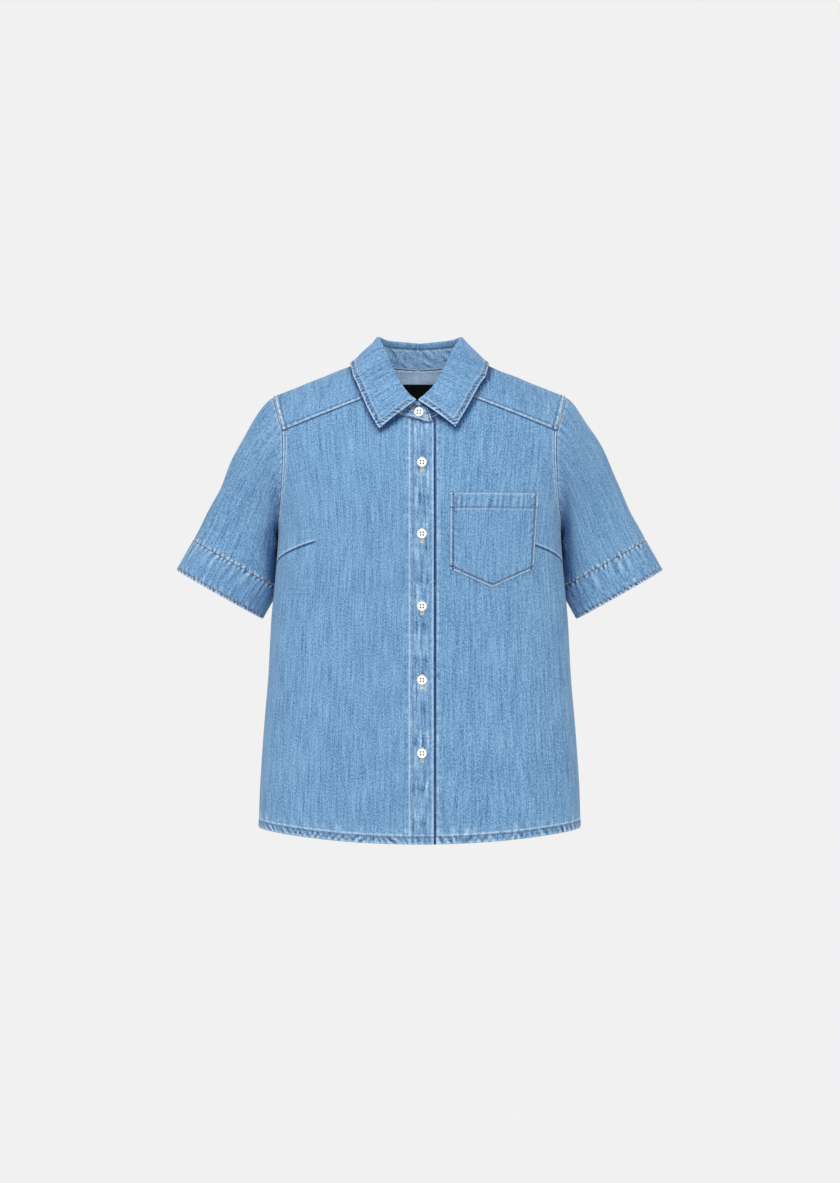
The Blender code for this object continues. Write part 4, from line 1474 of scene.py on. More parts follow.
@dataclass(frozen=True)
class SleeveCut:
    """The left sleeve: from the armhole's edge to its straight end."""

    cut: Cut = Cut()
    cuff_length: float = 0.045
    half_width: float = 0.0646
    half_depth: float = 0.04
    foot: tuple[float, float, float] = (0.2635, 0.04, -0.293)
    lean: float = math.radians(29.5)
    armhole_middle_z: float = -0.124
    start_gap: float = 0.0016
    columns: int = 168
    starts: tuple[Start, ...] = (
        Start(0.0, 0.8, 0.0, -0.6, 0.62, 0.9),
        Start(60.0, 0.8, 0.32, -0.5, 0.6, 0.9),
        Start(120.0, 0.78, 0.36, -0.5, 0.6, 0.8),
        Start(180.0, 0.9, 0.1, -0.42, 0.7, 0.5),
        Start(240.0, 0.78, -0.3, -0.5, 0.6, 0.8),
        Start(300.0, 0.8, -0.32, -0.5, 0.6, 0.9),
        Start(360.0, 0.8, 0.0, -0.6, 0.62, 0.9),
    )

    def axis(self) -> Array:
        """Direction in which the sleeve's end points."""
        return np.array((math.sin(self.lean), 0, -math.cos(self.lean)))

    def armhole(self) -> Array:
        """The armhole's edge from the underarm up the front, over and down the back."""
        cut, form = self.cut, self.cut.form
        rise = np.linspace(0, 1, 60)
        gap = HALF_GAP / cut.girth_radius
        front_z = cut.underarm_z + (cut.yoke_front_z - HALF_GAP - cut.underarm_z) * rise
        front = cut.armhole_bearing(front_z, cut.arm_front, cut.yoke_front_z) - gap
        back_z = cut.underarm_z + (cut.yoke_back_z - HALF_GAP - cut.underarm_z) * rise
        back = cut.armhole_bearing(back_z, cut.arm_back, cut.yoke_back_z) + gap
        over = form.shoulder(*cut.yoke_arm_edge(60))[1:-1]
        behind = form.torso(back, back_z)[:0:-1]
        points = joined([form.torso(front, front_z), over, behind])
        ring = joined([points, points[:1]])
        at = lengths_of(ring)
        return read_line(np.linspace(0, at[-1], self.columns, endpoint=False), at, ring)

    def clock(self, loop: Array) -> Array:
        """Angle of each armhole point: 0 at the shoulder tip, a quarter turn in front."""
        half_height = (self.cut.form.tip_z - self.cut.underarm_z) / 2
        half_depth = np.ptp(loop[:, 1]) / 2
        middle_y = (loop[:, 1].max() + loop[:, 1].min()) / 2
        up = (loop[:, 2] - self.armhole_middle_z) / half_height
        return np.arctan2(-(loop[:, 1] - middle_y) / half_depth, up) % TURN

    def ring(self, clock: Array, along: float) -> Array:
        """Ring of the straight end: along 0 is its seam, 1 its open foot."""
        out = np.array((math.cos(self.lean), 0, math.sin(self.lean)))
        middle = np.array(self.foot) - self.axis() * self.cuff_length * (1 - along)
        across = self.half_width * np.cos(clock)[..., None] * out
        front = self.half_depth * np.sin(clock)[..., None] * np.array((0, -1, 0))
        return middle + across + front

    def tube(self, along: Array) -> Array:
        """Rings from the armhole, 0, to the cuff's seam, 1."""
        loop = self.armhole()
        clock = self.clock(loop)
        degrees = np.degrees(clock)
        start = unit(stack(*(smooth(self.starts, name, degrees) for name in "xyz")))
        first = loop + self.start_gap * start
        last = self.ring(clock, -HALF_GAP / self.cuff_length)
        span = np.linalg.norm(last - first, axis=1, keepdims=True)
        pull = smooth(self.starts, "pull", degrees)[:, None] * span * start
        reach = smooth(self.starts, "reach", degrees)[:, None] * span * self.axis()
        rows = []
        for t in along:
            rest = 1 - t
            ends = rest**2 * (1 + 2 * t) * first + t**2 * (3 - 2 * t) * last
            rows.append(ends + t * rest * (rest * pull - t * reach))
        return np.stack(rows)

    def closed_round(self, rings: Array, side: Side) -> Array:
        """Rings as rows that face outwards, the first column repeated at the end."""
        points = joined([rings, rings[:, :1]], axis=1)[::-1]
        return points if side is Side.LEFT else (points * (-1, 1, 1))[:, ::-1]


@dataclass
class SleevePiece(SewnPiece):
    """A tube of the sleeve, with shade painted into the cloth's colour where it folds beside the
    body.
    """

    sleeve_cut: SleeveCut = SleeveCut()
    thread: Finish = Finish.ECRU_THREAD
    foot_inset: float = 0.0014

    def fold(self, grid: ClothGrid, behind: Array | float) -> None:
        """Paints shade into the cloth's colour in the fold beside the body, less behind it."""
        x, _, z = grid.xyz()
        uneven = 0.95 + 0.25 * Unevenness(self.seed + 40).over(x, z, 0.03, 3.5)
        folded = bell(np.abs(x) - 0.187, 0.012) * bell(z + 0.24, 0.07)
        grid.add(deep=1.4 * folded * uneven * (1 - 0.7 * behind))

    def sew(self, grid: ClothGrid) -> None:
        """A row just above the foot; the seam under the arm is sewn inside."""
        self.sewing.run(grid.line(Edge.BOTTOM, self.foot_inset, (0, 0)))


@dataclass
class Sleeve(SleevePiece):
    """A set-in short sleeve, down to the seam of its cuff."""

    thread_radius: float = 0.00034
    clear: float = 0.0022

    def grid(self) -> ClothGrid:
        """The sleeve as rings, from the cuff's seam up to the armhole."""
        along = shares(0.15, 0.0026, (0, 0.006, 0.0011), (0.146, 0.15, 0.0011))
        rings = self.sleeve_cut.tube(along)
        return ClothGrid(self.sleeve_cut.closed_round(rings, self.side), closed=True)

    def shape(self, grid: ClothGrid) -> None:
        """The armhole seam, the cuff's seam, soft folds at the underarm."""
        top = grid.inside(Edge.TOP)
        girth = grid.u[:, -1:]
        grid.add(-0.0003 * bell(top, 0.002), worn=0.35 * bell(top - 0.0014, 0.0012))
        # painted shadow on the sleeve along the armhole seam
        grid.add(deep=0.5 * bell(top, 0.0009))
        turn = TURN * grid.u / girth
        grid.pucker(Edge.TOP, 0.004, 0.006, 0.011, 0.00022, 0.3)
        foot = grid.inside(Edge.BOTTOM)
        grid.add(-0.0003 * bell(foot, 0.0012))
        broken = Unevenness(self.seed + 70).along(grid.u, 0.0055)
        grid.add(worn=(0.8 + 0.8 * broken) * bell(foot - 0.0016, 0.0016))
        grid.add(deep=1.1 * ease(-1.6 * broken) * bell(foot - 0.0014, 0.0018))
        grid.stitch_trough(Edge.BOTTOM, self.foot_inset, 0.0002)
        grid.pucker(Edge.BOTTOM, 0.0018, 0.003, 0.0066, 0.00026, 0.3, 2.8, 2.0)
        inside = ease(top / 0.03) * ease(foot / 0.03)
        uneven = Unevenness(self.seed + 30)
        middle = self.sleeve_cut.half_width
        soft = uneven.over(np.cos(turn) * middle, grid.v + np.sin(turn) * middle, 0.085)
        grid.add(0.0012 * soft * inside)
        under = ease(np.cos(turn) * 2 - 0.7)
        waves = np.sin(TURN * (grid.v + 0.3 * np.abs(np.sin(turn)) * middle) / 0.034)
        grid.add(0.0011 * waves * under * inside)
        self.hang(grid)

    def hang(self, grid: ClothGrid) -> None:
        """The loose cloth behind the underarm, which hangs in towards the body."""
        x, y, z = grid.xyz()
        facing = ease(grid.out()[..., 0] * -self.side.value * 2 - 0.2)
        behind = ease((y - 0.012) / 0.02)
        near = bell(z + 0.227, 0.017) * (1 - behind)
        hung = 0.0042 * near + 0.0075 * bell(z + 0.238, 0.02) * behind
        grid.add(hung * facing)
        room = np.abs(x) - self.sleeve_cut.cut.form.side_at(y, z) - self.clear
        past = grid.relief - room
        past = ease(facing * 4) * (past + np.hypot(past, 0.0005)) / 2
        grid.add(-past)
        # painted shade beside the body, less behind
        self.fold(grid, behind)


@dataclass
class Cuff(SleevePiece):
    """The deep stitched end of a sleeve."""

    inner: Finish = Finish.DENIM
    thread_radius: float = 0.0003
    foot_inset: float = 0.0034
    finer: int = 2

    def grid(self) -> ClothGrid:
        """The cuff as rings, from its open foot up to its seam."""
        cut = self.sleeve_cut
        clock = np.unwrap(cut.clock(cut.armhole()))
        count = len(clock)
        ends = np.append(clock, clock[0] + TURN * np.sign(clock[-1] - clock[0]))
        finer = self.finer
        clock = np.interp(np.arange(finer * count) / finer, np.arange(count + 1), ends)
        start = HALF_GAP / cut.cuff_length
        along = start + (1 - start) * shares(
            0.045, 0.0024, (0, 0.007, 0.0009), (0.037, 0.045, 0.0009)
        )
        rings = np.stack([cut.ring(clock, place) for place in along])
        return ClothGrid(cut.closed_round(rings, self.side), closed=True)

    def shape(self, grid: ClothGrid) -> None:
        """Roping along both rows of stitches, and soft ribs between them."""
        grid.ridge(Edge.TOP, 0.045, 0.0003)
        grid.roll(Edge.TOP, drop=0.0003)
        grid.roll(Edge.BOTTOM, worn=0.9)
        # painted shade beside the body, less behind
        self.fold(grid, ease((grid.points[..., 1] - 0.03) / 0.02))
        grid.add(deep=0.25 * bell(grid.inside(Edge.TOP), 0.001))
        grid.stitch_trough(Edge.BOTTOM, self.foot_inset, 0.0003)
        grid.pucker(Edge.TOP, 0.0012, 0.0036, 0.0072, 0.00036, 0.2, 2.6, 2.6)
        grid.pucker(Edge.TOP, 0.012, 0.01, 0.012, 0.00024, 0.1, 1.6, 1.2)
        grid.pucker(Edge.BOTTOM, 0.0024, 0.0026, 0.0056, 0.0004, 0.5, 3.4, 3.6)
        grid.pucker(Edge.BOTTOM, 0.008, 0.004, 0.0095, 0.00022, 0.1, 1.6, 1.0)
        broken = Unevenness(self.seed + 80).along(grid.u, 0.0045)
        grid.add(deep=(0.7 + 0.9 * broken) * bell(grid.v - 0.0032, 0.0013))


# ---- The collar
class CollarRow(NamedTuple):
    """The collar's lines at a bearing from the centre back, in degrees."""

    bearing: float
    stand_y: float
    stand_z: float
    rise: float
    edge_x: float
    edge_turn: float
    clear: float


@dataclass(frozen=True)
class CollarCut:
    """The collar's lines: the stand's two edges, the fold and the leaf's outer edge."""

    cut: Cut = Cut()
    top_half_width: float = 0.055
    stand_clear: float = 0.0027
    shift: float = -0.003  # the closed front sits this far to the wearer's right
    fold_radius: float = 0.0025
    leaf_end: float = 175.5
    under_end: float = 191.0
    rows: tuple[CollarRow, ...] = (
        CollarRow(0.0, 0.055, 0.03, 0.008, 0.0, 74.0, 0.004),
        CollarRow(45.0, 0.04, 0.032, 0.008, 0.062, 50.0, 0.004),
        CollarRow(90.0, 0.001, 0.0345, 0.007, 0.0895, 6.0, 0.003),
        CollarRow(112.0, -0.024, 0.026, 0.007, 0.0857, -38.0, 0.0035),
        CollarRow(135.0, -0.046, -0.004, 0.0065, 0.0784, -58.0, 0.004),
        CollarRow(155.0, -0.061, -0.03, 0.006, 0.0646, -88.0, 0.004),
        CollarRow(175.5, -0.0705, -0.048, 0.005, 0.0488, -115.6, 0.0035),
        CollarRow(195.0, -0.0755, -0.06, 0.005, 0.0488, -115.6, 0.0035),
    )

    def moved(self, turn: Array) -> Array:
        """Sideways shift of the collar, growing from its sides to its front."""
        return self.shift * ease((turn - 110) / 60)

    def lap(self, bearing: Array) -> Array:
        """How far the wearer's right end stands off, to lap over the left one."""
        return LAYER * ease((-bearing - 150) / 25)

    def base(self, bearing: Array, lift: Array) -> Array:
        """Lower edge of the stand, just clear of the neck's edge."""
        x, turn = self.cut.neck_edge(np.abs(bearing))
        x = x * np.where(bearing < 0, -1.0, 1.0)
        points = self.cut.over_shoulder(x, turn, self.stand_clear + lift)
        points[..., 2] -= np.where(bearing < 0, self.cut.tab_dip(points[..., 0]), 0)
        return points

    def top(self, bearing: Array, lift: Array) -> Array:
        """Upper edge of the stand, where the leaf is sewn on."""
        turn = np.abs(bearing)
        x = self.top_half_width * np.sin(np.radians(turn)) * np.where(bearing < 0, -1.0, 1.0)
        x = x + self.moved(turn)
        y = smooth(self.rows, "stand_y", turn)
        z = smooth(self.rows, "stand_z", turn)
        out = unit(stack(x, y * 0.8, 0 * y))
        return stack(x, y, z) + np.asarray(lift)[..., None] * out

    def stand(self, bearing: Array) -> tuple[Array, Array, Array, Array]:
        """The stand's two edges, and its directions round the neck and outwards."""
        lift, flat = self.lap(bearing), 0 * bearing
        base, top = self.base(bearing, lift), self.top(bearing, lift)
        run = unit(self.top(bearing + 0.5, flat) - self.top(bearing - 0.5, flat))
        return base, top, run, unit(np.cross(top - base, run))

    def edge(self, bearing: Array) -> Array:
        """Outer edge of the leaf, just clear of the shoulders."""
        turn = np.abs(bearing)
        x = smooth(self.rows, "edge_x", turn) * np.where(bearing < 0, -1.0, 1.0)
        over = np.radians(smooth(self.rows, "edge_turn", turn))
        clear = smooth(self.rows, "clear", turn)
        return self.cut.over_shoulder(x + self.moved(turn), over, clear)

    def rim(self) -> Array:
        """The leaf's free border in front, where it covers the cloth beside it, moved down and
        towards +x, away from the key lamp, as the line for its painted shadow.
        """
        lines = [self.edge(np.linspace(-self.leaf_end, self.leaf_end, 300))]
        for end in (-self.leaf_end, self.leaf_end):
            bearing = np.array([end])
            top, foot = self.top(bearing, self.lap(bearing)), self.edge(bearing)
            lines.append(top + (foot - top) * np.linspace(0, 1, 50)[:, None])
        line = joined(lines)
        return line[line[:, 1] < 0] + np.array((0.0018, 0.0, -0.0018))


@dataclass
class CollarStand(SewnPiece):
    """The stand, its right end over its left one in front."""

    collar: CollarCut = CollarCut()
    inner: Finish = Finish.DENIM_NECK_PAINTED_LIGHT
    # a weaker painted collar shadow on the stand
    collar_shadow_strength: float = 0.35
    inset: float = 0.0022
    settle: float = 0.0005

    def grid(self) -> ClothGrid:
        """The stand as rows from the neck up."""
        tab_end, leaf_end = self.collar.cut.tab_end, self.collar.leaf_end
        bearing = joined(
            [
                np.linspace(-tab_end, -leaf_end, 26)[:-1],
                np.linspace(-leaf_end, leaf_end, 210),
                np.linspace(leaf_end, self.collar.under_end, 16)[1:],
            ]
        )
        lift = self.collar.lap(bearing)
        settled = lift - self.settle * ease((150 - np.abs(bearing)) / 30)
        base, top = self.collar.base(bearing, settled), self.collar.top(bearing, lift)
        top[:, 2] += 0.0055 * ease((np.abs(bearing) - 175.4) / 2.4)
        share = shares(0.03, 0.0013)[:, None, None]
        return ClothGrid((base + (top - base) * share)[:, ::-1])

    def shape(self, grid: ClothGrid) -> None:
        """Rolled edges, stitched ends, and creases along the fold at the back."""
        for edge in ENDS:
            grid.roll(edge, worn=0.9, drop=0.0003)
            grid.stitch_trough(edge, self.inset, 0.0002)
        grid.roll(Edge.BOTTOM, worn=0.9, drop=0.0003)
        grid.stitch_trough(Edge.BOTTOM, self.inset, 0.0002)
        grid.pucker(Edge.BOTTOM, 0.003, 0.003, 0.008, 0.00018, 0.3)
        top, behind = grid.inside(Edge.TOP), grid.points[..., 1] > 0
        grid.add(deep=0.5 * bell(top, 0.0012) * behind)
        grid.add(worn=0.6 * bell(top - 0.0024, 0.0012) * behind)
        tab = grid.inside(Edge.RIGHT)
        grid.add(worn=0.4 * bell(tab, 0.02) + 0.8 * bell(tab - 0.0008, 0.0009))
        grid.add(deep=0.9 * bell(tab - 0.0024, 0.0008))
        # painted shadow of the tab's end on the stand's under end
        grid.add(deep=2.2 * bell(grid.inside(Edge.LEFT) - 0.031, 0.0032))
        grid.pucker(Edge.TOP, 0.003, 0.0035, 0.009, 0.00024, 0.6, 1.8, 1.8)
        crumple = Unevenness(9).over(grid.u, grid.v, 0.016, 0.42)
        inside = grid.within((Edge.TOP, 0.008), (Edge.BOTTOM, 0.008))
        grid.add_relief(0.0004 * crumple * inside, 0.9, 1.1)

    def sew(self, grid: ClothGrid) -> None:
        """A row all round, near the edges that show."""
        self.sewing.run(grid.line(Edge.BOTTOM, self.inset, (0.002, 0.002)))
        for edge in ENDS:
            self.sewing.run(grid.line(edge, self.inset, (0.003, 0.004)))


@dataclass
class CollarLeaf(SewnPiece):
    """The leaf: up from the stand, over the fold and down to its outer edge."""

    collar: CollarCut = CollarCut()
    inner: Finish = Finish.DENIM
    hold: Hold = Hold.FOLDED
    rests_on: tuple[str, ...] = ("collar_stand", "yoke")
    inset: float = 0.0075
    bow: float = 0.0025

    def grid(self) -> ClothGrid:
        """The leaf as rows from its outer edge, over the fold, to its seam."""
        collar = self.collar
        middle = shares(0.42, 0.0015, (0, 0.009, 0.0009), (0.411, 0.42, 0.0009))
        bearing = collar.leaf_end * (2 * middle - 1)
        _, top, run, out = collar.stand(bearing)
        radius, rise = collar.fold_radius, unit(np.cross(run, out))
        high = smooth(collar.rows, "rise", np.abs(bearing))[:, None]
        bend = top + rise * (high - radius) + out * radius
        rows = [top + rise * (SEAM_GAP + 0.5 * (high - radius) * k) for k in (0, 1)]
        for swing in np.linspace(0, math.pi, 13):
            rows.append(bend + radius * (math.sin(swing) * rise - math.cos(swing) * out))
        edge = collar.edge(bearing)
        bow = self.bow * (1 - 1.3 * bell(np.abs(bearing) - 85, 32))[:, None]
        for share in shares(0.05, 0.0016, (0.041, 0.05, 0.0009))[1:]:
            point = rows[14] + (edge - rows[14]) * share
            rows.append(point + out * bow * math.sin(math.pi * share))
        return ClothGrid(np.stack(rows)[::-1, ::-1])

    def shape(self, grid: ClothGrid) -> None:
        """The thick stitched border of the two ends and the outer edge."""
        outer = grid.inside(Edge.BOTTOM)
        left, right = (grid.inside(edge) for edge in ENDS)
        border = np.minimum(np.minimum(left, right), outer)
        fall = ease((0.062 - outer) / 0.012)
        grid.add(0.0004 * band(border, PAST_EDGE, self.inset, 0.0016))
        trough = bell(border - self.inset, 0.001)
        grid.add(-0.00035 * trough * fall)
        grid.add(-0.0005 * bell(border, 0.0011))
        patchy = 0.75 + 0.5 * Unevenness(31).over(grid.u, grid.v, 0.006)
        grid.add(worn=0.95 * bell(border - 0.0009, 0.0009))
        grid.add(worn=0.85 * bell(border - self.inset - 0.0004, 0.0008) * fall * patchy)
        grid.add(deep=0.6 * bell(border - self.inset * 0.6, 0.0022) * fall * patchy)
        for edge in (*ENDS, Edge.BOTTOM):
            grid.pucker(edge, 0.0036, 0.003, 0.0056, 0.00034, 0.9, 2.4, 2.9)
        soft = Unevenness(12).over(grid.u, grid.v, 0.06)
        grid.add(0.0005 * soft * ease((border - 0.006) / 0.02))

    def sew(self, grid: ClothGrid) -> None:
        """One row along the two ends and the outer edge."""
        self.sewing.run(grid.line(Edge.BOTTOM, self.inset, (self.inset, self.inset)))
        for edge in ENDS:
            self.sewing.run(grid.line(edge, self.inset, (self.inset, 0.01)))


# ---- Bands and pieces on the fronts
@dataclass
class FrontBand(SewnPiece):
    """A doubled band down the front, at fixed places across it."""

    left_x: float = -0.0143
    right_x: float = 0.0179
    lift: float = LAYER
    inner: Finish = Finish.DENIM
    insets: tuple[float, float] = (0.0066, 0.0058)
    clear: float = 0.001
    hem_inset: float = 0.0092
    shadow_x: float = 1.0
    edge_worn: float = 1.05
    ribs: float = 0.0003
    least: float = -0.0006
    most: float = 0.0006

    def top(self, x: Array) -> Array:
        """Height of the band's upper edge at x."""
        return self.cut.neck_z(x) - self.clear

    def grid(self) -> ClothGrid:
        """The band as a grid just off the draped front."""
        width = self.right_x - self.left_x
        x = self.left_x + width * shares(
            width, 0.0011, (0, 0.003, 0.0007), (width - 0.006, width, 0.0006)
        )
        up = shares(0.545, 0.0018, (0, 0.012, 0.001), (0.54, 0.545, 0.001))[:, None]
        z = self.cut.hem_front_z + (self.top(x) - self.cut.hem_front_z) * up
        return ClothGrid(self.cut.in_front(x + 0 * z, z, self.lift))

    def shape(self, grid: ClothGrid) -> None:
        """Folded edges, two rows of stitches, and long upright puckers between them."""
        for edge, inset in zip(ENDS, self.insets):
            grid.roll(edge, worn=self.edge_worn)
            grid.stitch_trough(edge, inset, 0.0003)
            grid.pucker(edge, 0.0035, 0.0022, 0.012, 0.00016, 0.2, 1.0, 1.2)
            grid.add(worn=0.12 * bell(grid.inside(edge) - inset - 0.0016, 0.001))
        uneven = Unevenness(self.seed + 60)
        ribs = uneven.over(grid.u, grid.v, 0.0078, 6.0)
        ribs = ribs + 0.7 * uneven.over(grid.v, grid.u, 0.011, 0.42)
        gather = 0.75 + 0.35 * uneven.along(grid.v, 0.06)
        inside = math.prod(ease((grid.inside(edge) - 0.004) / 0.003) for edge in ENDS)
        grid.add_relief(self.ribs * ribs * gather * inside, 1.3, 1.6)
        shadow = bell(self.left_x + grid.u - self.shadow_x, 0.0014)
        grid.add(deep=3.0 * shadow)
        # painted shadow along the upper edge, under the collar stand
        grid.add(deep=1.4 * bell(grid.inside(Edge.TOP), 0.0014))
        grid.roll(Edge.BOTTOM, worn=0.3)
        grid.stitch_trough(Edge.BOTTOM, self.hem_inset, 0.00025)
        grid.pucker(Edge.BOTTOM, 0.005, 0.004, 0.008, 0.0002, 0.6, 1.6, 1.4)
        grid.add(deep=0.6 * bell(grid.v - self.hem_inset, 0.001))
        grid.add(worn=0.5 * bell(grid.v - self.hem_inset - 0.002, 0.001))
        grid.relief = np.clip(grid.relief, self.least, self.most)

    def sew(self, grid: ClothGrid) -> None:
        """A row beside each edge, and one across the foot."""
        for edge, inset in zip(ENDS, self.insets):
            self.sewing.run(grid.line(edge, inset, (0.002, 0.001)))
        self.sewing.run(grid.line(Edge.BOTTOM, self.hem_inset, (0.001, 0.001)))


@dataclass
class Placket(FrontBand):
    """The buttonhole band of the wearer's right front, which laps over."""

    rests_on: tuple[str, ...] = ("front_right", "button_band")
    edge_worn: float = 0.6

    def top(self, x: Array) -> Array:
        """Height of the upper edge, which follows the dip of the collar's tab."""
        return super().top(x) - self.cut.tab_dip(x)


@dataclass
class Pocket(SewnPiece):
    """The patch pocket, with a turned hem above and a point below."""

    lift: float = 0.0021
    left_x: float = 0.0393
    right_x: float = 0.1507
    foot_right_x: float = 0.1451
    point_x: float = 0.0928
    top_z: float = -0.163
    foot_z: float = -0.26
    point_z: float = -0.2838
    hem_width: float = 0.02
    inset: float = 0.0036
    hold: Hold = Hold.LAID
    rests_on: tuple[str, ...] = ("front_left",)
    thread: Finish = Finish.ECRU_THREAD
    thread_radius: float = 0.00018

    def grid(self) -> ClothGrid:
        """The pocket as a grid just off the draped front."""
        width = self.foot_right_x - self.left_x
        point = (self.point_x - self.left_x) / width
        near = shares(width * point, 0.002, (0, 0.005, 0.0008))
        far = shares(width * (1 - point), 0.002, (0.046, 0.053, 0.0008))
        across = joined([near * point, point + (1 - point) * far[1:]])
        foot_x = self.left_x + width * across
        top_x = self.left_x + (self.right_x - self.left_x) * across
        slant = np.interp(across, (0, point, 1), (0, 1, 0))
        foot_z = self.foot_z + (self.point_z - self.foot_z) * slant
        up = shares(0.118, 0.0018, (0, 0.006, 0.0008), (0.095, 0.118, 0.0011))[:, None]
        x = foot_x + (top_x - foot_x) * up
        z = foot_z + (self.top_z - foot_z) * up
        return ClothGrid(self.cut.in_front(x, z, self.lift))

    def shape(self, grid: ClothGrid) -> None:
        """The hem with its puckers, turned edges, and soft creases in the bag."""
        below = grid.inside(Edge.TOP)
        grid.ridge(Edge.TOP, self.hem_width, 0.0005, 0.0012)
        grid.roll(Edge.TOP, worn=0.4)
        grid.stitch_trough(Edge.TOP, self.hem_width - 0.0012, 0.0003)
        grid.pucker(Edge.TOP, 0.012, 0.008, 0.0088, 0.0003, 0.15, 1.3, 1.3)
        grid.add(deep=0.5 * bell(below - self.hem_width + 0.0012, 0.001))
        grid.add(worn=0.4 * bell(below - self.hem_width - 0.0008, 0.001))
        for edge in (Edge.LEFT, Edge.RIGHT, Edge.BOTTOM):
            grid.roll(edge, worn=0.6)
            grid.stitch_trough(edge, self.inset, 0.00028)
            grid.add(deep=1.2 * bell(grid.inside(edge) - self.inset, 0.0012))
            grid.pucker(edge, 0.006, 0.005, 0.0095, 0.00018, 0.3, 1.4, 1.4)
        inside = grid.within((Edge.BOTTOM, 0.02), (Edge.LEFT, 0.02), (Edge.RIGHT, 0.02))
        inside = inside * ease((below - 0.02) / 0.02)
        soft = Unevenness(77).over(grid.u, grid.v, 0.045, 1.6)
        grid.add(0.0006 * (0.6 + soft) * inside)

    def sew(self, grid: ClothGrid) -> None:
        """Edge rows, the hem's row, and a short dense bar at each upper corner."""
        hem_inset = self.hem_width - 0.0012
        for edge in ENDS:
            self.sewing.run(grid.line(edge, self.inset, (self.inset, 0.001)))
            for inset in (0.0016, 0.0023, 0.003):
                bar = grid.line(edge, inset, (0, 0.0015))
                self.sewing.run(bar[bar[:, 0, 2] > self.top_z - 0.011])
        self.sewing.run(grid.line(Edge.BOTTOM, self.inset, (self.inset, self.inset)))
        self.sewing.run(grid.line(Edge.TOP, hem_inset, (self.inset, self.inset)))


# ---- Label, buttons and buttonholes
@dataclass
class NeckLabel(SewnPiece):
    """The plain black label inside the back yoke."""

    middle_x: float = -0.0023
    width: float = 0.05
    top_z: float = -0.0143
    height: float = 0.028
    slot: str = "label"
    finish: Finish = Finish.LABEL
    wall: float = 0.0007
    hold: Hold = Hold.LAID
    inner: Finish = Finish.LABEL
    thread: Finish = Finish.BLACK_THREAD
    thread_radius: float = 0.00015

    def grid(self) -> ClothGrid:
        """The label as a grid just inside the yoke, facing into the shirt."""
        x = self.middle_x + self.width * (shares(self.width, 0.0009) - 0.5)
        z = self.top_z - self.height * shares(self.height, 0.0009)[:, None]
        turn = self.cut.form.turn_at(x + 0 * z, z)
        inside = CLOTH / 2 + 3 * SEAM_GAP + self.wall
        return ClothGrid(self.cut.over_shoulder(x + 0 * z, turn, -inside)[::-1])

    def shape(self, grid: ClothGrid) -> None:
        """Folded ends, and a faint wave between the stitched edges."""
        grid.add(0.00018 * Unevenness(5).over(grid.u, grid.v, 0.02))
        for edge in Edge:
            grid.add(-0.0002 * bell(grid.inside(edge), 0.0008))
            grid.add(-0.00012 * bell(grid.inside(edge) - 0.0016, 0.0005))

    def sew(self, grid: ClothGrid) -> None:
        """Rows of black thread near all four edges."""
        for edge in Edge:
            self.sewing.run(grid.line(edge, 0.0016, (0.0016, 0.0016)), self.wall / 2)


class Seat(NamedTuple):
    """Where a small part lies: its middle, its outward and its upward direction."""

    middle: Array
    out: Array
    up: Array


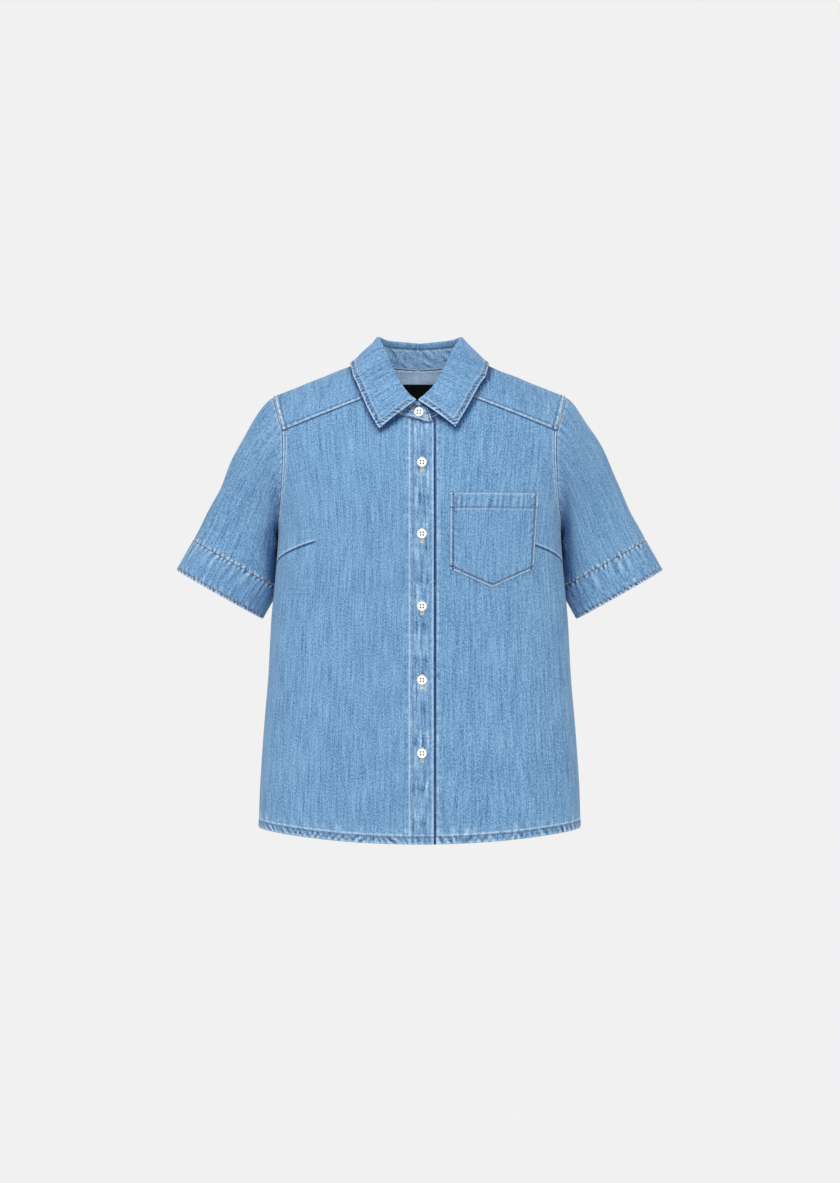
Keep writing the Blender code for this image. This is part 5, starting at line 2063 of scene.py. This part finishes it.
@dataclass
class Button:
    """A four-hole button with a raised rim and a dished middle, sewn on; its holes are shallow
    pits with painted shade.
    """

    node: str
    seat: Seat
    radius: float = 0.0061
    thickness: float = 0.0026
    rim_width: float = 0.0013
    dish: float = 0.00045
    hole_radius: float = 0.001
    hole_reach: float = 0.0018
    columns: int = 80

    def profile(self) -> Array:
        """Radius and height of the turned form, from the middle of its face to its back."""
        inner, rim = self.radius - self.rim_width, self.rim_width
        half = self.thickness / 2
        face = [(r, half - self.dish) for r in np.linspace(0.00001, inner - 0.0003, 26)]
        swell = [
            (inner + rim * t, half - self.dish * (1 - math.sin(math.pi * min(t + 0.1, 0.5))))
            for t in np.linspace(0, 0.45, 6)
        ]
        corner = [
            (
                self.radius - 0.0007 * (1 - math.cos(turn)),
                half - 0.0007 * (1 - math.sin(turn)),
            )
            for turn in np.linspace(math.pi / 2, 0, 7)
        ]
        back = [
            (self.radius, -half * 0.3),
            (self.radius - 0.0004, -half * 0.8),
            (self.radius - 0.0012, -half),
            (0.00001, -half),
        ]
        return np.array(face + swell + corner + back)

    def make(self) -> Piece:
        """Builds the button and its thread.

        Returns:
            The button.
        """
        profile = self.profile()
        turn = np.linspace(0, TURN, self.columns, endpoint=False)
        radius, height = profile[:, :1], profile[:, 1:]
        x, y = radius * np.cos(turn), radius * np.sin(turn)
        z = height + 0 * x
        reach = self.hole_reach
        holes = [(sx * reach, sy * reach) for sx in (-1, 1) for sy in (-1, 1)]
        pit = sum(
            ease(1.5 - np.hypot(x - hx, y - hy) / self.hole_radius) for hx, hy in holes
        )
        pit = pit * (z > 0)
        z = z - 0.0011 * pit
        right = np.cross(self.seat.up, self.seat.out)
        basis = np.stack([right, self.seat.up, self.seat.out])
        points = self.seat.middle + stack(x, y, z) @ basis
        faces = quads(len(profile), self.columns, closed=True)[:, ::-1]
        mesh = mesh_of(self.node, points.reshape(-1, 3), faces)
        # the pits as the deep mask: painted shade in the holes
        write_mask(mesh, "deep", np.clip(pit, 0, 1))
        piece = put(mesh, [Finish.BUTTON])
        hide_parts(self.node)
        self.sew(basis)
        return piece

    def sew(self, basis: Array) -> None:
        """Two upright bars of thread between the holes."""
        sewing = Sewing(sides=6)
        level = self.thickness / 2 - self.dish + 0.00012
        for side in (-1, 1):
            for strand in (-1, 1):
                x = side * self.hole_reach + strand * 0.00012
                reach = self.hole_reach - self.hole_radius * 0.9
                ends = np.array([(x, -reach, level), (x, reach, level)])
                start, stop = self.seat.middle + ends @ basis
                sewing.add(start[None], stop[None], self.seat.out[None], 0.00012)
        piece = sewing.piece(self.node + "_thread", Finish.WHITE_THREAD)


@dataclass
class Buttonhole:
    """A worked buttonhole: close stitches across both lips of a slit, and a bar at each end,
    with a black strand along the slit as painted shadow.
    """

    name: str
    finish: Finish
    lip: float = 0.0021
    pitch: float = 0.00052
    radius: float = 0.00028

    def make(self, path: Array) -> None:
        """Works the buttonhole along a path.

        Args:
            path: Points x 2 x 3: the slit's points on the cloth's face, and outward.
        """
        points, outs = path[:, 0], path[:, 1]
        at = lengths_of(points)
        places = np.arange(0, at[-1], self.pitch)
        middle, out = read_line(places, at, points), unit(read_line(places, at, outs))
        along = unit(np.gradient(middle, axis=0))
        across = np.cross(out, along)
        sewing = Sewing()
        uneven = 1 + 0.1 * Unevenness(8).along(places, 0.0021)[:, None]
        for side in (-1, 1):
            near = middle + side * 0.00022 * across
            far = middle + side * self.lip * uneven * across
            sewing.add(near, far, out, self.radius)
        for end in (0, -1):
            for step in np.linspace(-1, 1, 5):
                bar = middle[end] + step * self.lip * 0.9 * across[end]
                reach = along[end] * 0.0007
                sewing.add((bar - reach)[None], (bar + reach)[None], out[end][None], self.radius)
        thread = sewing.piece(self.name, self.finish)
        # a black strand along the slit: painted shadow in the cut
        slit = Sewing()
        slit.add(middle[1:2], middle[-2:-1], out[1:2], 0.0002)
        slit.piece(self.name + "_slit_shadow", Finish.BLACK_THREAD)


@dataclass
class Fastening:
    """The six buttons and their buttonholes."""

    cut: Cut = Cut()
    collar: CollarCut = CollarCut()
    x: float = 0.003
    heights: tuple[float, ...] = (-0.1249, -0.2153, -0.3078, -0.4025, -0.4962)
    neck_bearing: float = -181.2
    neck_height: float = 0.55
    above: float = 0.007
    below: float = 0.0112

    def on_placket(self, x: Array, z: Array, height: float) -> Array:
        """Points at a height over the placket's face, with their outward directions."""
        foot = self.cut.in_front(x, z, LAYER + CLOTH / 2)
        tip = self.cut.in_front(x, z, LAYER + CLOTH / 2 + 0.001)
        out = unit(tip - foot)
        return np.stack([foot + out * height, out], axis=-2)

    def on_stand(self, bearing: Array, height: float) -> Array:
        """Points at a height over the stand's face, with their outward directions."""
        base, top, _, out = self.collar.stand(bearing)
        middle = base + (top - base) * self.neck_height
        return np.stack([middle + out * (CLOTH / 2 + height), out], axis=-2)

    def seats(self) -> list[Seat]:
        """Where the buttons lie, from the neck down."""
        rise = SEAM_GAP + Button.thickness / 2
        up = np.array((0.0, 0.0, 1.0))
        neck = self.on_stand(np.array([self.neck_bearing]), rise + 3 * SEAM_GAP)[0]
        z = np.array(self.heights)
        rows = [neck, *self.on_placket(np.full(len(z), self.x), z, rise)]
        return [Seat(row[0], row[1], unit(up - row[1] * row[1][2])) for row in rows]

    def make(self) -> None:
        """Makes the buttons, and a buttonhole under each."""
        for number, seat in enumerate(self.seats(), start=1):
            Button(f"button_{number}", seat).make()
        bearing = np.linspace(-183.0, -170.5, 30)
        path = self.on_stand(bearing, 0.0001)
        Buttonhole("buttonhole_1", Finish.COPPER_THREAD).make(path)
        for number, height in enumerate(self.heights, start=2):
            z = np.linspace(height - self.below, height + self.above, 30)
            path = self.on_placket(np.full(30, self.x), z, 0.0001)
            Buttonhole(f"buttonhole_{number}", Finish.BUTTONHOLE_THREAD).make(path)


# ---- Studio
@dataclass(frozen=True)
class Lamp:
    """A large soft lamp that faces the shirt."""

    name: str
    place: tuple[float, float, float]
    size: float
    watts: float
    colour: Colour = (1.0, 1.0, 1.0)


@dataclass
class Stage:
    """A pale floor in an evenly lit room, soft lamps, and the camera."""

    target: tuple[float, float, float] = (0.0005, 0.0, -0.2893)
    camera_distance: float = 4.5
    lens: float = 104.85
    sensor: float = 36.0
    floor_z: float = -4.0
    half_width: float = 14.0
    lamps: tuple[Lamp, ...] = (
        Lamp("key", (-1.3, -2.3, 2.2), 1.0, 34.0),
        Lamp("front", (0.3, -4.2, 0.5), 1.5, 44.0),
        Lamp("rim", (0.6, 2.6, 1.6), 1.8, 26.0),
    )

    def floor(self) -> Piece:
        """The floor, which runs into the room with no horizon."""
        x = np.array([-self.half_width, self.half_width])
        points = stack(x[None], x[:, None], self.floor_z)
        mesh = mesh_of("floor", points.reshape(-1, 3), quads(2, 2, closed=False))
        mesh.materials.append(Finish.PAPER.made())
        return placed("floor", mesh)

    def light(self) -> None:
        """The even glow of the room, and the lamps."""
        world = bpy.data.worlds.new("pale_room")
        world.use_nodes = True
        sky = world.node_tree.nodes["Background"]
        sky.inputs["Color"].default_value = (*Finish.PAPER.value.colour, 1.0)
        sky.inputs["Strength"].default_value = 1.0
        bpy.context.scene.world = world
        for lamp in self.lamps:
            data = bpy.data.lights.new(lamp.name, "AREA")
            data.energy = lamp.watts
            data.size = lamp.size
            data.color = lamp.colour
            made = placed(lamp.name, data)
            made.location = lamp.place
            aim = Vector(self.target) - Vector(lamp.place)
            made.rotation_euler = aim.to_track_quat("-Z", "Y").to_euler()

    def camera(self) -> None:
        """A level camera straight in front."""
        data = bpy.data.cameras.new("camera")
        data.sensor_fit = "VERTICAL"
        data.sensor_height = self.sensor
        data.lens = self.lens
        made = placed("camera", data)
        made.location = Vector(self.target) - Vector((0.0, self.camera_distance, 0.0))
        made.rotation_euler = (math.pi / 2, 0.0, 0.0)
        bpy.context.scene.camera = made

    def make(self) -> None:
        """Sets the stage."""
        self.floor()
        self.light()
        self.camera()
        bpy.context.scene.view_settings.view_transform = "Standard"


# ---- The shirt
def main() -> None:
    """Builds the shirt's pieces in the order in which they are sewn on."""
    logging.basicConfig(level=logging.INFO, format="%(name)s %(message)s")
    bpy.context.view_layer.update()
    # the line beside which the collar's shadow is painted on the fronts, yoke, placket and stand
    rim = CollarCut().rim()
    pieces: list[SewnPiece] = [
        Yoke("yoke", hold=Hold.DRAPED, rests_on=(), collar_shadow_line=rim),
        BackPanel("back", hem_slant=0.6),
        FrontPanel("front_right", Side.RIGHT, inner_x=0.0131, collar_shadow_line=rim),
        FrontPanel("front_left", Side.LEFT, hem_slant=0.4, collar_shadow_line=rim),
        Sleeve("sleeve_right", Side.RIGHT),
        Sleeve("sleeve_left", Side.LEFT),
        Cuff("cuff_right", Side.RIGHT),
        Cuff("cuff_left", Side.LEFT),
        FrontBand(
            "button_band",
            left_x=-0.0119,
            right_x=0.0212,
            lift=-0.0005,
            shadow_x=0.0193,
            edge_worn=0.1,
            ribs=0.00008,
        ),
        Placket("placket", collar_shadow_line=rim),
        CollarStand("collar_stand", collar_shadow_line=rim),
        CollarLeaf("collar_leaf"),
        Pocket("pocket", Side.LEFT),
        NeckLabel("label"),
    ]
    for number, piece in enumerate(pieces, start=1):
        piece.seed = number
        piece.make()
    Fastening().make()
    Stage().make()


if __name__ == "__main__":
    main()
